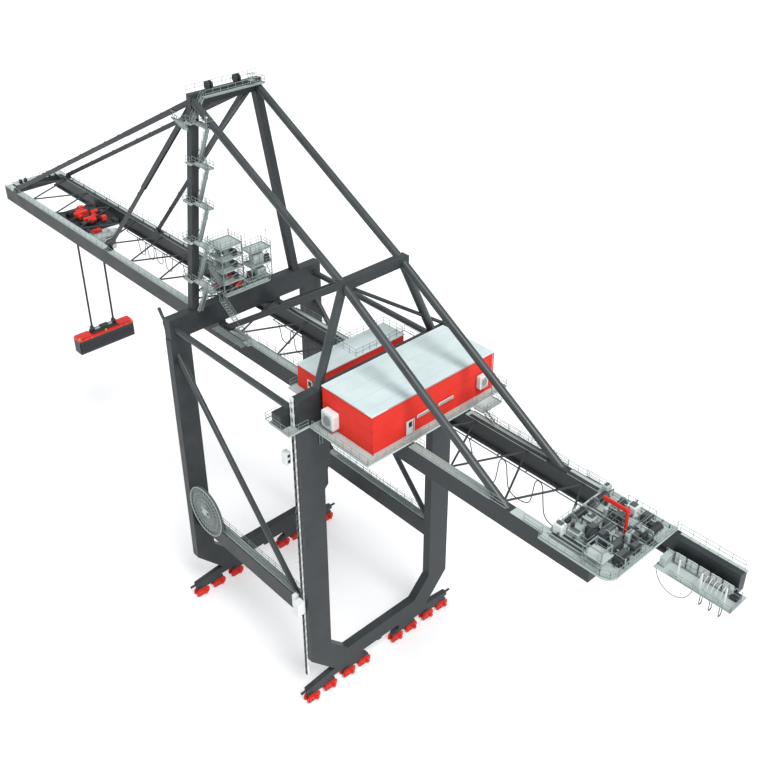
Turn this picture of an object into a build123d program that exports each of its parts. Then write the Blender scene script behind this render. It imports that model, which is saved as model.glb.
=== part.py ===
from build123d import *
from math import atan2, cos, degrees, hypot, radians, sin
import os

os.makedirs("parts", exist_ok=True)

# Ship-to-shore container gantry crane, scale model 1:10, in millimetres.
# +X points to the water, +Y to the near side, +Z up, and z = 0 is the foot of the wheel flanges.

# Rails and reach
rail_gauge = 3048
boom_tip_reach = 7378
far_girder_reach = 8354
near_girder_reach = 7140
waterside_x = (far_girder_reach - boom_tip_reach) / 2
landside_x = waterside_x - rail_gauge

# Leg frames
leg_axis_y = 1278
leg_width_x = 143
leg_width_y = 345
landside_leg_extra = 52
leg_foot_z = 1300
frame_top_z = 5230
sill_bottom_z = 380
sill_depth = 290
knee_rise = 350
knee_run = 330
outer_chamfer_z = 910
outer_chamfer_run = 480
haunch_z = 4200
haunch_rise = 300
haunch_run = 110
cross_beam_width = 160
cross_beam_depth = 350
cross_beam_half = 1440
landside_beam_extra = 120

# Side members of the portal
tie_axis_y = 1295
tie_width = 150
tie_bottom_z = 1610
tie_depth = 310
tie_knee = 300
side_tube_y = 1335
upper_tie_radius = 48
upper_tie_z = 5395
brace_radius = 45
brace_top_z = 4989
brace_foot_run = 248

# Girders
girder_axis_y = 528
girder_width = 132
girder_depth = 275
girder_hang = 40
ledge_width = 42
ledge_depth = 22
rail_width = 9
rail_height = 10
lace_radius = 14
lace_drop = 24
lace_bay = 450

# Boom hinge and forestays
hinge_forward = 450
hinge_gap = 16
luff_angle = 80
hinge_pin_radius = 22
hinge_lug_radius = 45
hinge_lug_thickness = 30
hinge_cheek_thickness = 20
hinge_lug_foot = 170
running_gap = 5
pin_gap = 0.4
outer_stay_y = 566
inner_stay_y = 490
stay_splay = 34
stay_bar_thickness = 14
stay_fork_gap = 12
stay_fork_thickness = 8
stay_depth = 78
stay_pin_radius = 14
stay_eye_radius = 40
stay_pin_rise = 56
outer_anchor_reach = 6925
inner_anchor_reach = 3390
mast_pin_reach = 225
mast_pin_z = 8620
stay_web_length = 120
stay_web_depth = 50
outer_webs = (300, 780, 1260)
inner_webs = (300, 1000, 1700)

# Mast on the waterside cross beam
mast_width = 120
mast_foot_y = 958
mast_top_y = 545
mast_lean = 118
mast_head_bottom_z = 8590
mast_head_depth = 180
mast_head_half = 605
mast_head_width = 100
mast_haunch_run = 210
mast_haunch_drop = 90
sheave_radius = 60
sheave_width = 24
sheave_gap = 30
sheave_places = (258, -216)

# Apex frame on the landside cross beam
apex_foot_y = 1080
apex_top_y = 512
apex_lean = 77
apex_z = 7058
apex_leg_radius = 62
apex_beam_width = 134
apex_beam_half = 590
apex_brace_radius = 26
top_strut_radius = 56
backstay_radius = 56
backstay_foot_reach = 5820
forward_strut_width = 90
forward_strut_foot = 205

# Machine house and electrical house
house_front = 162
house_length = 940
house_half = 1100
house_height = 575
house_wall = 15
house_roof = 15
roof_lip = 12
floor_thickness = 25
floor_margin = 130
floor_side_margin = 190
door_width = 92
door_height = 205
door_thickness = 8
door_gap = 5
house_door_y = 410
ehouse_front = 2300
ehouse_length = 430
ehouse_near_y = 800
ehouse_far_y = 800
ehouse_height = 350
ehouse_door_offset = 110
sleeper_depth = 40

# Running gear
wheel_radius = 31.5
flange_rise = 2.5
flange_thickness = 3
wheel_width = 14
wheel_spread = 72
bogie_places = (1421, 1079, 691, 367)
bogie_width = 80
bogie_plate = 9
bogie_depth = 150
bogie_length = 260
bogie_corner = 60
equaliser_width = 90

# Cable reel
reel_radius = 440
reel_thickness = 40
reel_back = 535
reel_z = 2240
reel_y = 1430
reel_hub_radius = 60
reel_rim = 42
reel_web = 12
reel_cone = 150

# Trolley and load
trolley_reach = 5250
trolley_half_length = 560
trolley_half_width = 400
trolley_deck_depth = 60
trolley_wheel_radius = 34
trolley_wheel_base = 880
cab_back = 800
cab_length = 240
cab_half_width = 110
cab_height = 240
rope_radius = 4
rope_half_x = 60
rope_half_y = 240
container_length = 1219
container_width = 244
container_height = 290
container_bottom_z = 2220
spreader_depth = 40
headblock_length = 560
headblock_width = 160
headblock_depth = 60

# Rear service platform and jib
service_front = 6480
service_length = 1000
service_outer_y = 690
service_corner = 150
jib_reach = 7157
jib_post_radius = 14
jib_height = 420
jib_arm_length = 330
jib_arm_depth = 24

# Lesser sizes of the struts, houses and running gear
top_strut_y = 545
sleeper_width = 40
door_sill = 12
door_lap = 5
door_knuckle_radius = 6
door_pin_radius = 3
door_axis_out = 9
bracket_depth = 8
equaliser_inner_y = 400
equaliser_outer_y = 1530
equaliser_tip_drop = 70
lower_beam_z = (160, 235)
lower_beam_margin = 90
lower_beam_tip = 26
buffer_z = 270
buffer_length = 100
buffer_radius = 20
bogie_clear = 4
saddle_length = 70
saddle_drop = 60
axle_radius = 8
reel_shaft_radius = 20
trolley_beam_width = 60
trolley_wheel_width = 18
cab_drop = 30
cab_arm_width = 20
jib_collar_depth = 50
jib_shoulder = 6
catwalk_inner_y = 160
catwalk_lap = 40
catwalk_overhang = 100
grating_depth = 8
grating_clear = 160
mast_landing_levels = (6060, 6655, 7240, 7815, 8380)
landing_width = 110
landing_length = 390
flight_tread = 30
flight_width = 40
lift_offset = 40
lift_mast_width = 50
lift_mast_depth = 24
lift_foot_z = 560
lift_head_z = 5150
lift_gap = 0.5
lift_car_width = 120
lift_car_depth = 130
lift_car_height = 220
lift_car_z = 1930
tie_down_radius = 15
tie_down_thickness = 30
tie_down_drop = 55
tie_down_width = 90
deck_margin = 10
deck_front = 345
deck_outer_y = 1625
landing_cabin_x = (85, 275)
landing_cabin_inner_y = 1430
landing_cabin_outer_y = 1618
landing_cabin_height = 200
winch_offset = 280
winch_radius = 30
winch_half = 210
winch_bearing = 30
winch_clear = 4
winch_cheek = 6
winch_deck = 10
head_walk_width = 90
head_walk_drop = 60
head_walk_near_y = 420

# Derived levels and places
leg_inner_y = leg_axis_y - leg_width_y / 2
leg_outer_y = leg_axis_y + leg_width_y / 2
sill_top_z = sill_bottom_z + sill_depth
cross_beam_top_z = frame_top_z + cross_beam_depth
landside_beam_top_z = cross_beam_top_z + landside_beam_extra
landside_leg_inner_y = leg_inner_y - landside_leg_extra
girder_top_z = frame_top_z - girder_hang
girder_bottom_z = girder_top_z - girder_depth
girder_inner_y = girder_axis_y - girder_width / 2
girder_outer_y = girder_axis_y + girder_width / 2
rail_top_z = girder_bottom_z + ledge_depth + rail_height
rail_y = girder_inner_y - ledge_width / 2
hinge_x = waterside_x + hinge_forward
hinge_z = girder_top_z + hinge_lug_radius + running_gap
girder_front_x = hinge_x - hinge_gap / 2
boom_rear_x = hinge_x + hinge_gap / 2
boom_tip_x = waterside_x + boom_tip_reach
near_rear_x = waterside_x - near_girder_reach
far_rear_x = waterside_x - far_girder_reach
tie_top_z = tie_bottom_z + tie_depth
mast_head_top_z = mast_head_bottom_z + mast_head_depth
stay_pin_z = girder_top_z + stay_pin_rise
mast_pin = (waterside_x + mast_pin_reach, mast_pin_z)
apex_x = landside_x + apex_lean


def write(piece, label):
    """Labels a finished piece and writes its file."""
    piece.part.label = label
    export_step(piece.part, f"parts/{label}.step")


def block(x, y, z, mode=Mode.ADD):
    """Adds or cuts a plain block between two values on each axis."""
    with BuildSketch(Plane.XY.offset(z[0])) as foot:
        with Locations(((x[0] + x[1]) / 2, (y[0] + y[1]) / 2)):
            Rectangle(abs(x[1] - x[0]), abs(y[1] - y[0]))
    extrude(foot.sketch, amount=z[1] - z[0], mode=mode)


def tube(start, end, radius, mode=Mode.ADD, beyond=0):
    """Adds a round bar between two points, square at both ends, which may run on past the second."""
    run = Vector(*end) - Vector(*start)
    with BuildSketch(Plane(origin=start, z_dir=run)) as ring:
        Circle(radius)
    extrude(ring.sketch, amount=run.length + beyond, mode=mode)


def span(middle, width):
    """Lowest and highest value of a width about its middle."""
    return (middle - width / 2, middle + width / 2)


def side_span(side, inner, outer):
    """Lowest and highest Y of a piece on the near (+1) or far (-1) side."""
    return tuple(sorted((side * inner, side * outer)))


sides = (1, -1)


# Sills with their chamfered knees, one under each pair of legs
def sill(rail_x, inner_y, label):
    with BuildPart() as frame_foot:
        with BuildSketch(Plane.YZ.offset(rail_x)):
            with BuildLine():
                Polyline(
                    (0, sill_bottom_z),
                    (leg_outer_y - outer_chamfer_run, sill_bottom_z),
                    (leg_outer_y, outer_chamfer_z),
                    (leg_outer_y, leg_foot_z),
                    (inner_y, leg_foot_z),
                    (inner_y, sill_top_z + knee_rise),
                    (inner_y - knee_run, sill_top_z),
                    (0, sill_top_z),
                    close=True,
                )
            make_face()
            mirror(about=Plane.YZ)
        extrude(amount=leg_width_x / 2, both=True)
        lug_z = (sill_bottom_z - 2 * tie_down_drop, sill_bottom_z)
        block(span(rail_x, tie_down_thickness), span(0, tie_down_width), lug_z)
        bore_z = sill_bottom_z - tie_down_drop
        bore_x = span(rail_x, tie_down_thickness)
        tube((bore_x[0], 0, bore_z), (bore_x[1], 0, bore_z), tie_down_radius, Mode.SUBTRACT)
    write(frame_foot, label)


sill(waterside_x, leg_inner_y, "waterside_sill")
sill(landside_x, landside_leg_inner_y, "landside_sill")


# Box legs, the landside pair haunched inwards under the upper cross beam
def legs(rail_x, inner_y, haunch, label):
    with BuildPart() as pair:
        with BuildSketch(Plane.YZ.offset(rail_x)):
            with BuildLine():
                Polyline(
                    (leg_outer_y, leg_foot_z),
                    (leg_outer_y, frame_top_z),
                    (inner_y - haunch, frame_top_z),
                    (inner_y - haunch, haunch_z + haunch_rise),
                    (inner_y, haunch_z),
                    (inner_y, leg_foot_z),
                    close=True,
                )
            make_face()
            mirror(about=Plane.YZ)
        extrude(amount=leg_width_x / 2, both=True)
    write(pair, label)


legs(waterside_x, leg_inner_y, 0, "waterside_legs")
legs(landside_x, landside_leg_inner_y, haunch_run, "landside_legs")


# Upper cross beams, with the saddles that hang the girders from them
def cross_beam(rail_x, top_z, label):
    with BuildPart() as beam:
        block(span(rail_x, cross_beam_width), span(0, 2 * cross_beam_half), (frame_top_z, top_z))
        for side in sides:
            saddle_y = side_span(side, girder_inner_y, girder_outer_y)
            block(span(rail_x, cross_beam_width), saddle_y, (girder_top_z, frame_top_z))
    write(beam, label)


cross_beam(waterside_x, cross_beam_top_z, "waterside_cross_beam")
cross_beam(landside_x, landside_beam_top_z, "landside_cross_beam")

# Portal ties along the gauge, with a knee at each leg
tie_x = (landside_x + leg_width_x / 2, waterside_x - leg_width_x / 2)
with BuildPart() as portal_ties:
    for side in sides:
        with BuildSketch(Plane.XZ.offset(-side * tie_axis_y)):
            with BuildLine():
                Polyline(
                    (tie_x[0], tie_bottom_z),
                    (tie_x[1], tie_bottom_z),
                    (tie_x[1], tie_top_z + tie_knee),
                    (tie_x[1] - tie_knee, tie_top_z),
                    (tie_x[0], tie_top_z),
                    close=True,
                )
            make_face()
        extrude(amount=tie_width / 2, both=True)
write(portal_ties, "portal_ties")

# Round upper ties between the cross beams
upper_tie_x = (landside_x + cross_beam_width / 2, waterside_x - cross_beam_width / 2)
with BuildPart() as upper_ties:
    for side in sides:
        tie_y = side * side_tube_y
        tube((upper_tie_x[0], tie_y, upper_tie_z), (upper_tie_x[1], tie_y, upper_tie_z), upper_tie_radius)
write(upper_ties, "upper_ties")

# Long side braces, from the head of the waterside leg down to the landside end of the tie
with BuildPart() as side_braces:
    for side in sides:
        brace_y = side * side_tube_y
        brace_head = (waterside_x, brace_y, brace_top_z)
        brace_foot = (landside_x + brace_foot_run, brace_y, tie_top_z - brace_radius)
        tube(brace_head, brace_foot, brace_radius)
    for side in sides:
        leg_y = side_span(side, leg_inner_y, leg_outer_y)
        block(span(waterside_x, leg_width_x), leg_y, (leg_foot_z, frame_top_z), Mode.SUBTRACT)
        block(tie_x, leg_y, (tie_bottom_z, tie_top_z), Mode.SUBTRACT)
write(side_braces, "side_braces")


# Box girders with a ledge and rail on the inner side
def girder(side, x, label):
    with BuildPart() as box_girder:
        block(x, side_span(side, girder_inner_y, girder_outer_y), (girder_bottom_z, girder_top_z))
        ledge_y = side_span(side, girder_inner_y - ledge_width, girder_inner_y)
        block(x, ledge_y, (girder_bottom_z, girder_bottom_z + ledge_depth))
        track_y = span(side * rail_y, rail_width)
        block(x, track_y, (girder_bottom_z + ledge_depth, rail_top_z))
    write(box_girder, label)


girder(1, (near_rear_x, girder_front_x), "near_girder")
girder(-1, (far_rear_x, girder_front_x), "far_girder")
girder(1, (boom_rear_x, boom_tip_x), "near_boom_girder")
girder(-1, (boom_rear_x, boom_tip_x), "far_boom_girder")


# Zigzag lacing of tubes between two girders, above the trolley
def lacing(x, bays, end_ties, label):
    lace_z = girder_top_z - lace_drop
    pitch = (x[1] - x[0]) / bays
    with BuildPart() as frame_lacing:
        for bay in range(bays):
            side = 1 if bay % 2 else -1
            start = (x[0] + bay * pitch, side * girder_inner_y, lace_z)
            end = (x[0] + (bay + 1) * pitch, -side * girder_inner_y, lace_z)
            tube(start, end, lace_radius)
        for end_tie in end_ties:
            block(end_tie, span(0, 2 * girder_inner_y), (lace_z - 2 * lace_radius, girder_top_z))
        whole = (x[0] - girder_width, x[1] + girder_width)
        for side in sides:
            girder_y = side_span(side, girder_inner_y, girder_outer_y)
            block(whole, girder_y, (girder_bottom_z, girder_top_z), Mode.SUBTRACT)
    write(frame_lacing, label)


end_tie_width = 60
lacing(
    (near_rear_x + end_tie_width / 2, girder_front_x - end_tie_width / 2),
    17,
    [(near_rear_x, near_rear_x + end_tie_width), (girder_front_x - end_tie_width, girder_front_x)],
    "girder_lacing",
)
lacing(
    (boom_rear_x + end_tie_width / 2, boom_tip_x - end_tie_width / 2),
    15,
    [(boom_rear_x, boom_rear_x + end_tie_width), (boom_tip_x - end_tie_width, boom_tip_x)],
    "boom_lacing",
)


def hinge_plate(side, offset, thickness, direction, bored):
    """Lug plate round the boom pin, with its foot on the girder on one side of the pin."""
    with BuildSketch(Plane.XZ.offset(-side * girder_axis_y - offset)) as plate:
        with Locations((hinge_x, hinge_z)):
            Circle(hinge_lug_radius)
        foot_start = hinge_x + direction * hinge_gap / 2
        foot_end = hinge_x + direction * hinge_lug_foot
        with BuildLine():
            Polyline(
                (hinge_x, hinge_z + hinge_lug_radius),
                (hinge_x, hinge_z),
                (foot_start, girder_top_z),
                (foot_end, girder_top_z),
                close=True,
            )
        make_face()
        if bored:
            with Locations((hinge_x, hinge_z)):
                Circle(hinge_pin_radius + pin_gap, mode=Mode.SUBTRACT)
    extrude(plate.sketch, amount=thickness / 2, both=True)


# Cheeks on the girders that carry the boom pins
cheek_offset = hinge_lug_thickness / 2 + running_gap + hinge_cheek_thickness / 2
with BuildPart() as hinge_cheeks:
    for side in sides:
        for offset in (-cheek_offset, cheek_offset):
            hinge_plate(side, offset, hinge_cheek_thickness, -1, False)
        pin_reach = cheek_offset + hinge_cheek_thickness / 2
        pin_start = (hinge_x, side * girder_axis_y - pin_reach, hinge_z)
        pin_end = (hinge_x, side * girder_axis_y + pin_reach, hinge_z)
        tube(pin_start, pin_end, hinge_pin_radius)
write(hinge_cheeks, "hinge_cheeks")


def outer_anchor():
    return (waterside_x + outer_anchor_reach, stay_pin_z)


def inner_anchor():
    return (waterside_x + inner_anchor_reach, stay_pin_z)


fork_offset = stay_bar_thickness / 2 + stay_fork_gap + stay_fork_thickness / 2


def plumb_length(anchor):
    """Length of an upper link that hangs plumb under its pin when the boom is fully raised."""
    turn = radians(luff_angle)
    run_x = anchor[0] - hinge_x
    run_z = anchor[1] - hinge_z
    raised_x = hinge_x + run_x * cos(turn) - run_z * sin(turn) - mast_pin[0]
    raised_z = hinge_z + run_x * sin(turn) + run_z * cos(turn) - mast_pin[1]
    length = hypot(anchor[0] - mast_pin[0], anchor[1] - mast_pin[1])
    return (length**2 - raised_x**2 - raised_z**2) / (2 * (raised_z + length))


def stay_point(anchor, stay_y, side, place):
    """Point on the line of a stay at a distance from the mast pin, with the boom level."""
    length = hypot(anchor[0] - mast_pin[0], anchor[1] - mast_pin[1])
    share = place / length
    at_x = mast_pin[0] + (anchor[0] - mast_pin[0]) * share
    at_z = mast_pin[1] + (anchor[1] - mast_pin[1]) * share
    return Vector(at_x, side * (stay_y - stay_splay * (1 - share)), at_z)


def bar_plane(start, end, offset):
    """Plane down the middle of a bar between two points, set off from them in Y."""
    run = end - start
    across = run.cross(Vector(0, 1, 0))
    return Plane(origin=start + Vector(0, offset, 0), x_dir=run, z_dir=run.cross(across))


def flat_link(start, end, offset, thickness, bored):
    """Flat bar with an eye at each end."""
    length = (end - start).length
    with BuildSketch(bar_plane(start, end, offset)) as bar_face:
        Rectangle(length, stay_depth, align=(Align.MIN, Align.CENTER))
        with Locations((0, 0), (length, 0)):
            Circle(stay_eye_radius)
        if bored:
            with Locations((0, 0), (length, 0)):
                Circle(stay_pin_radius + pin_gap, mode=Mode.SUBTRACT)
    extrude(bar_face.sketch, amount=thickness / 2, both=True)


def cross_pin(centre):
    """Round pin through a pair of fork plates."""
    reach = Vector(0, fork_offset + stay_fork_thickness / 2, 0)
    tube(centre - reach, centre + reach, stay_pin_radius)


def upper_stay(anchor, stay_y, webs, label):
    """Forked upper half of a stay, hung on its own pin in the mast bracket."""
    upper_length = plumb_length(anchor)
    with BuildPart() as fork:
        for side in sides:
            head = stay_point(anchor, stay_y, side, 0)
            knee = stay_point(anchor, stay_y, side, upper_length)
            for offset in (-fork_offset, fork_offset):
                flat_link(head, knee, offset, stay_fork_thickness, False)
            cross_pin(head)
            for place in webs:
                web_start = stay_point(anchor, stay_y, side, place)
                with BuildSketch(bar_plane(web_start, knee, 0)) as web:
                    Rectangle(stay_web_length, stay_web_depth)
                extrude(web.sketch, amount=fork_offset, both=True)
    write(fork, label)


def lower_stay(anchor, stay_y, label):
    """Single lower half of a stay, turning on the pin of its anchor."""
    with BuildPart() as bar:
        for side in sides:
            knee = stay_point(anchor, stay_y, side, plumb_length(anchor))
            foot = Vector(anchor[0], side * stay_y, anchor[1])
            flat_link(foot, knee, 0, stay_bar_thickness, True)
    write(bar, label)


upper_stay(outer_anchor(), outer_stay_y, outer_webs, "outer_stay_upper")
upper_stay(inner_anchor(), inner_stay_y, inner_webs, "inner_stay_upper")
lower_stay(outer_anchor(), outer_stay_y, "outer_stay_lower")
lower_stay(inner_anchor(), inner_stay_y, "inner_stay_lower")

# Lugs on the boom: one that turns on each boom pin, and two cheeks and a pin for each stay
anchor_foot = 90
with BuildPart() as boom_lugs:
    for side in sides:
        hinge_plate(side, 0, hinge_lug_thickness, 1, True)
        for anchor, stay_y in ((outer_anchor(), outer_stay_y), (inner_anchor(), inner_stay_y)):
            for offset in (-fork_offset, fork_offset):
                with BuildSketch(Plane.XZ.offset(-side * stay_y - offset)):
                    with BuildLine():
                        Polyline(
                            (anchor[0] - anchor_foot, girder_top_z),
                            (anchor[0] + anchor_foot, girder_top_z),
                            (anchor[0] + stay_eye_radius, anchor[1]),
                            (anchor[0] - stay_eye_radius, anchor[1]),
                            close=True,
                        )
                    make_face()
                    with Locations(anchor):
                        Circle(stay_eye_radius)
                extrude(amount=stay_fork_thickness / 2, both=True)
            cross_pin(Vector(anchor[0], side * stay_y, anchor[1]))
write(boom_lugs, "boom_lugs")


# Mast legs, leaning together from the waterside cross beam to the head beam
def mast_leg(side, mode=Mode.ADD):
    with BuildSketch(Plane.XY.offset(cross_beam_top_z)) as leg_foot:
        with Locations((waterside_x, side * mast_foot_y)):
            Rectangle(mast_width, mast_width)
    with BuildSketch(Plane.XY.offset(mast_head_bottom_z)) as leg_head:
        with Locations((waterside_x + mast_lean, side * mast_top_y)):
            Rectangle(mast_width, mast_width)
    loft([leg_foot.sketch, leg_head.sketch], mode=mode)


with BuildPart() as mast_legs:
    for side in sides:
        mast_leg(side)
write(mast_legs, "mast_legs")

# Head beam of the mast, haunched by the near leg, with the bored brackets for the pins of the stays
mast_head_x = span(waterside_x + mast_lean, mast_head_width)
with BuildPart() as mast_head:
    with BuildSketch(Plane.YZ.offset(mast_head_x[0])) as haunch:
        with BuildLine():
            Polyline(
                (mast_top_y, mast_head_bottom_z),
                (mast_top_y - mast_width / 2 - mast_haunch_run, mast_head_bottom_z),
                (mast_top_y, mast_head_bottom_z - mast_haunch_drop - mast_width / 2),
                close=True,
            )
        make_face()
    extrude(haunch.sketch, amount=mast_head_width)
    block(mast_head_x, span(0, 2 * mast_head_half), (mast_head_bottom_z, mast_head_top_z))
    for side in sides:
        for stay_y in (outer_stay_y - stay_splay, inner_stay_y - stay_splay):
            with BuildSketch(Plane.XZ.offset(-side * stay_y)) as bracket:
                with BuildLine():
                    Polyline(
                        (mast_head_x[1], mast_head_bottom_z),
                        (mast_pin[0], mast_pin[1] - stay_eye_radius),
                        (mast_pin[0], mast_pin[1] + stay_eye_radius),
                        (mast_head_x[1], mast_head_top_z),
                        close=True,
                    )
                make_face()
                with Locations(mast_pin):
                    Circle(stay_eye_radius)
                    Circle(stay_pin_radius + pin_gap, mode=Mode.SUBTRACT)
            extrude(bracket.sketch, amount=stay_bar_thickness / 2, both=True)
        mast_leg(side, Mode.SUBTRACT)
    for place in sheave_places:
        sheave_z = mast_head_top_z + sheave_radius
        for row in (-1, 1):
            row_y = place + row * (sheave_gap + sheave_width) / 2
            sheave_y = span(row_y, sheave_width)
            at_x = waterside_x + mast_lean
            tube((at_x, sheave_y[0], sheave_z), (at_x, sheave_y[1], sheave_z), sheave_radius)
        axle_x = span(waterside_x + mast_lean, sheave_width)
        block(axle_x, span(place, sheave_gap), (mast_head_top_z, sheave_z))
write(mast_head, "mast_head")

# Brace in the plane of the mast, from the far end of the head to the near leg
mast_brace_radius = 34
mast_brace_drop = 900
with BuildPart() as mast_brace:
    brace_lean = waterside_x + mast_lean
    share = mast_brace_drop / (mast_head_bottom_z - cross_beam_top_z)
    near_y = mast_top_y + (mast_foot_y - mast_top_y) * share
    near_x = brace_lean - mast_lean * share
    far_point = (brace_lean, -mast_top_y + mast_width, mast_head_bottom_z + mast_brace_radius)
    near_point = (near_x, near_y, mast_head_bottom_z - mast_brace_drop)
    tube(far_point, near_point, mast_brace_radius)
    block(mast_head_x, span(0, 2 * mast_head_half), (mast_head_bottom_z, mast_head_top_z), Mode.SUBTRACT)
    for side in sides:
        mast_leg(side, Mode.SUBTRACT)
write(mast_brace, "mast_brace")

# Apex beam, with the cross brace that runs past the far leg to the far end of the cross beam
apex_beam_x = span(apex_x, apex_beam_width)
apex_beam_z = (apex_z - apex_beam_width, apex_z)
apex_middle_z = apex_z - apex_beam_width / 2


def cut_apex_beam():
    block(apex_beam_x, span(0, 2 * apex_beam_half), apex_beam_z, Mode.SUBTRACT)


def cut_landside_beam():
    beam_x = span(landside_x, cross_beam_width)
    block(beam_x, span(0, 2 * cross_beam_half), (frame_top_z, landside_beam_top_z), Mode.SUBTRACT)


def apex_leg(side, mode=Mode.ADD):
    leg_foot = (landside_x, side * apex_foot_y, landside_beam_top_z - apex_leg_radius)
    leg_head = (apex_x, side * apex_top_y, apex_middle_z)
    tube(leg_foot, leg_head, apex_leg_radius, mode)


def apex_brace(mode=Mode.ADD):
    brace_head = (apex_x, apex_top_y, apex_middle_z)
    brace_foot = (landside_x, -cross_beam_half + apex_leg_radius, landside_beam_top_z - apex_brace_radius)
    tube(brace_head, brace_foot, apex_brace_radius, mode)


with BuildPart() as apex_beam:
    apex_brace()
    cut_landside_beam()
    apex_leg(-1, Mode.SUBTRACT)
    apex_leg(1, Mode.SUBTRACT)
    block(apex_beam_x, span(0, 2 * apex_beam_half), apex_beam_z)
write(apex_beam, "apex_beam")

# Tube legs that carry the apex beam on the landside cross beam
with BuildPart() as apex_legs:
    for side in sides:
        apex_leg(side)
    cut_apex_beam()
    cut_landside_beam()
write(apex_legs, "apex_legs")


def cut_apex_joints():
    """Cuts a member back to the apex beam and the legs under it."""
    cut_apex_beam()
    for side in sides:
        apex_leg(side, Mode.SUBTRACT)


# Top struts between the mast head and the apex
def top_strut(side, mode=Mode.ADD):
    strut_head = (waterside_x + mast_lean, side * top_strut_y, (mast_head_bottom_z + mast_head_top_z) / 2)
    strut_foot = (apex_x, side * apex_top_y, apex_middle_z)
    tube(strut_head, strut_foot, top_strut_radius, mode)


with BuildPart() as top_struts:
    for side in sides:
        top_strut(side)
    block(mast_head_x, span(0, 2 * mast_head_half), (mast_head_bottom_z, mast_head_top_z), Mode.SUBTRACT)
    for side in sides:
        mast_leg(side, Mode.SUBTRACT)
    cut_apex_joints()
write(top_struts, "top_struts")

# Forward struts, box sections from the apex down to the girders by the waterside cross beam
with BuildPart() as forward_struts:
    for side in sides:
        strut_head = Vector(apex_x, side * apex_top_y, apex_middle_z)
        strut_foot = Vector(waterside_x - forward_strut_foot, side * girder_axis_y, girder_top_z - lace_drop)
        strut_run = strut_foot - strut_head
        with BuildSketch(Plane(origin=strut_head, x_dir=(0, 1, 0), z_dir=strut_run)):
            Rectangle(forward_strut_width, forward_strut_width)
        extrude(amount=strut_run.length + forward_strut_width)
    cut_apex_joints()
    apex_brace(Mode.SUBTRACT)
    for side in sides:
        top_strut(side, Mode.SUBTRACT)
    cut_depth = (girder_bottom_z, girder_top_z)
    block((landside_x, waterside_x), span(0, 2 * leg_outer_y), cut_depth, Mode.SUBTRACT)
write(forward_struts, "forward_struts")

# Backstays from the apex to the rear of the girders
with BuildPart() as backstays:
    for side in sides:
        stay_head = (apex_x, side * apex_top_y, apex_middle_z)
        stay_foot = (waterside_x - backstay_foot_reach, side * girder_axis_y, girder_top_z)
        tube(stay_head, stay_foot, backstay_radius, beyond=2 * backstay_radius)
    cut_apex_joints()
    cut_depth = (girder_bottom_z - backstay_radius, girder_top_z)
    block((far_rear_x, landside_x), span(0, 2 * leg_outer_y), cut_depth, Mode.SUBTRACT)
write(backstays, "backstays")

# Floors of the two houses, on sleepers across the girders
floor_z = (girder_top_z + sleeper_depth, girder_top_z + sleeper_depth + floor_thickness)
house_x = (landside_x - house_front - house_length, landside_x - house_front)
ehouse_x = (waterside_x - ehouse_front - ehouse_length, waterside_x - ehouse_front)
ehouse_y = (-ehouse_far_y, ehouse_near_y)
sleeper_z = (girder_top_z, floor_z[0])
with BuildPart() as house_floors:
    block(
        (house_x[0] - floor_margin, landside_x - cross_beam_width / 2),
        span(0, 2 * (house_half + floor_side_margin)),
        floor_z,
    )
    ehouse_floor_x = (ehouse_x[0] - floor_margin / 2, ehouse_x[1] + floor_margin / 2)
    block(ehouse_floor_x, (ehouse_y[0] - floor_margin, ehouse_y[1] + floor_margin), floor_z)
    for side in sides:
        girder_y = side_span(side, girder_inner_y, girder_outer_y)
        for sleeper_x in (house_x[0], sum(house_x) / 2, house_x[1] - sleeper_width, *ehouse_x):
            block(span(sleeper_x, sleeper_width), girder_y, sleeper_z)
write(house_floors, "house_floors")


def house_walls(x, y, height, door_plane, label):
    """Four walls round a house, with a doorway and the hinge pin of its door."""
    with BuildPart() as walls:
        block(x, y, (floor_z[1], floor_z[1] + height))
        inner_x = (x[0] + house_wall, x[1] - house_wall)
        inner_y = (y[0] + house_wall, y[1] - house_wall)
        block(inner_x, inner_y, (floor_z[1], floor_z[1] + height), Mode.SUBTRACT)
        with BuildSketch(door_plane) as doorway:
            with Locations((door_knuckle_radius + door_width / 2, -house_wall / 2)):
                Rectangle(door_width - 2 * door_lap, house_wall)
        extrude(doorway.sketch, amount=door_height - door_lap, mode=Mode.SUBTRACT)
        with BuildSketch(door_plane.offset(door_sill)) as pin:
            with Locations((0, door_axis_out)):
                Circle(door_pin_radius)
        extrude(pin.sketch, amount=door_height)
        for level in (door_sill - bracket_depth, door_sill + door_height):
            with BuildSketch(door_plane.offset(level)) as bracket:
                with Locations((0, door_axis_out / 2)):
                    Rectangle(2 * door_knuckle_radius, door_axis_out)
                with Locations((0, door_axis_out)):
                    Circle(door_knuckle_radius)
            extrude(bracket.sketch, amount=bracket_depth)
    write(walls, label)


def house_roof_slab(x, y, height, label):
    """Flat roof with a lip over the walls."""
    roof_z = floor_z[1] + height
    with BuildPart() as roof:
        block((x[0] - roof_lip, x[1] + roof_lip), (y[0] - roof_lip, y[1] + roof_lip), (roof_z, roof_z + house_roof))
    write(roof, label)


def house_door(door_plane, label):
    """Door leaf with its bored knuckle, standing clear of the wall."""
    with BuildPart() as leaf:
        with BuildSketch(door_plane.offset(door_sill + pin_gap)) as leaf_plan:
            with Locations((door_width / 2 + door_knuckle_radius / 2, door_axis_out)):
                Rectangle(door_width + door_knuckle_radius, door_thickness)
            with Locations((0, door_axis_out)):
                Circle(door_knuckle_radius)
                Circle(door_pin_radius + pin_gap, mode=Mode.SUBTRACT)
        extrude(leaf_plan.sketch, amount=door_height - 2 * pin_gap)
    write(leaf, label)


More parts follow.
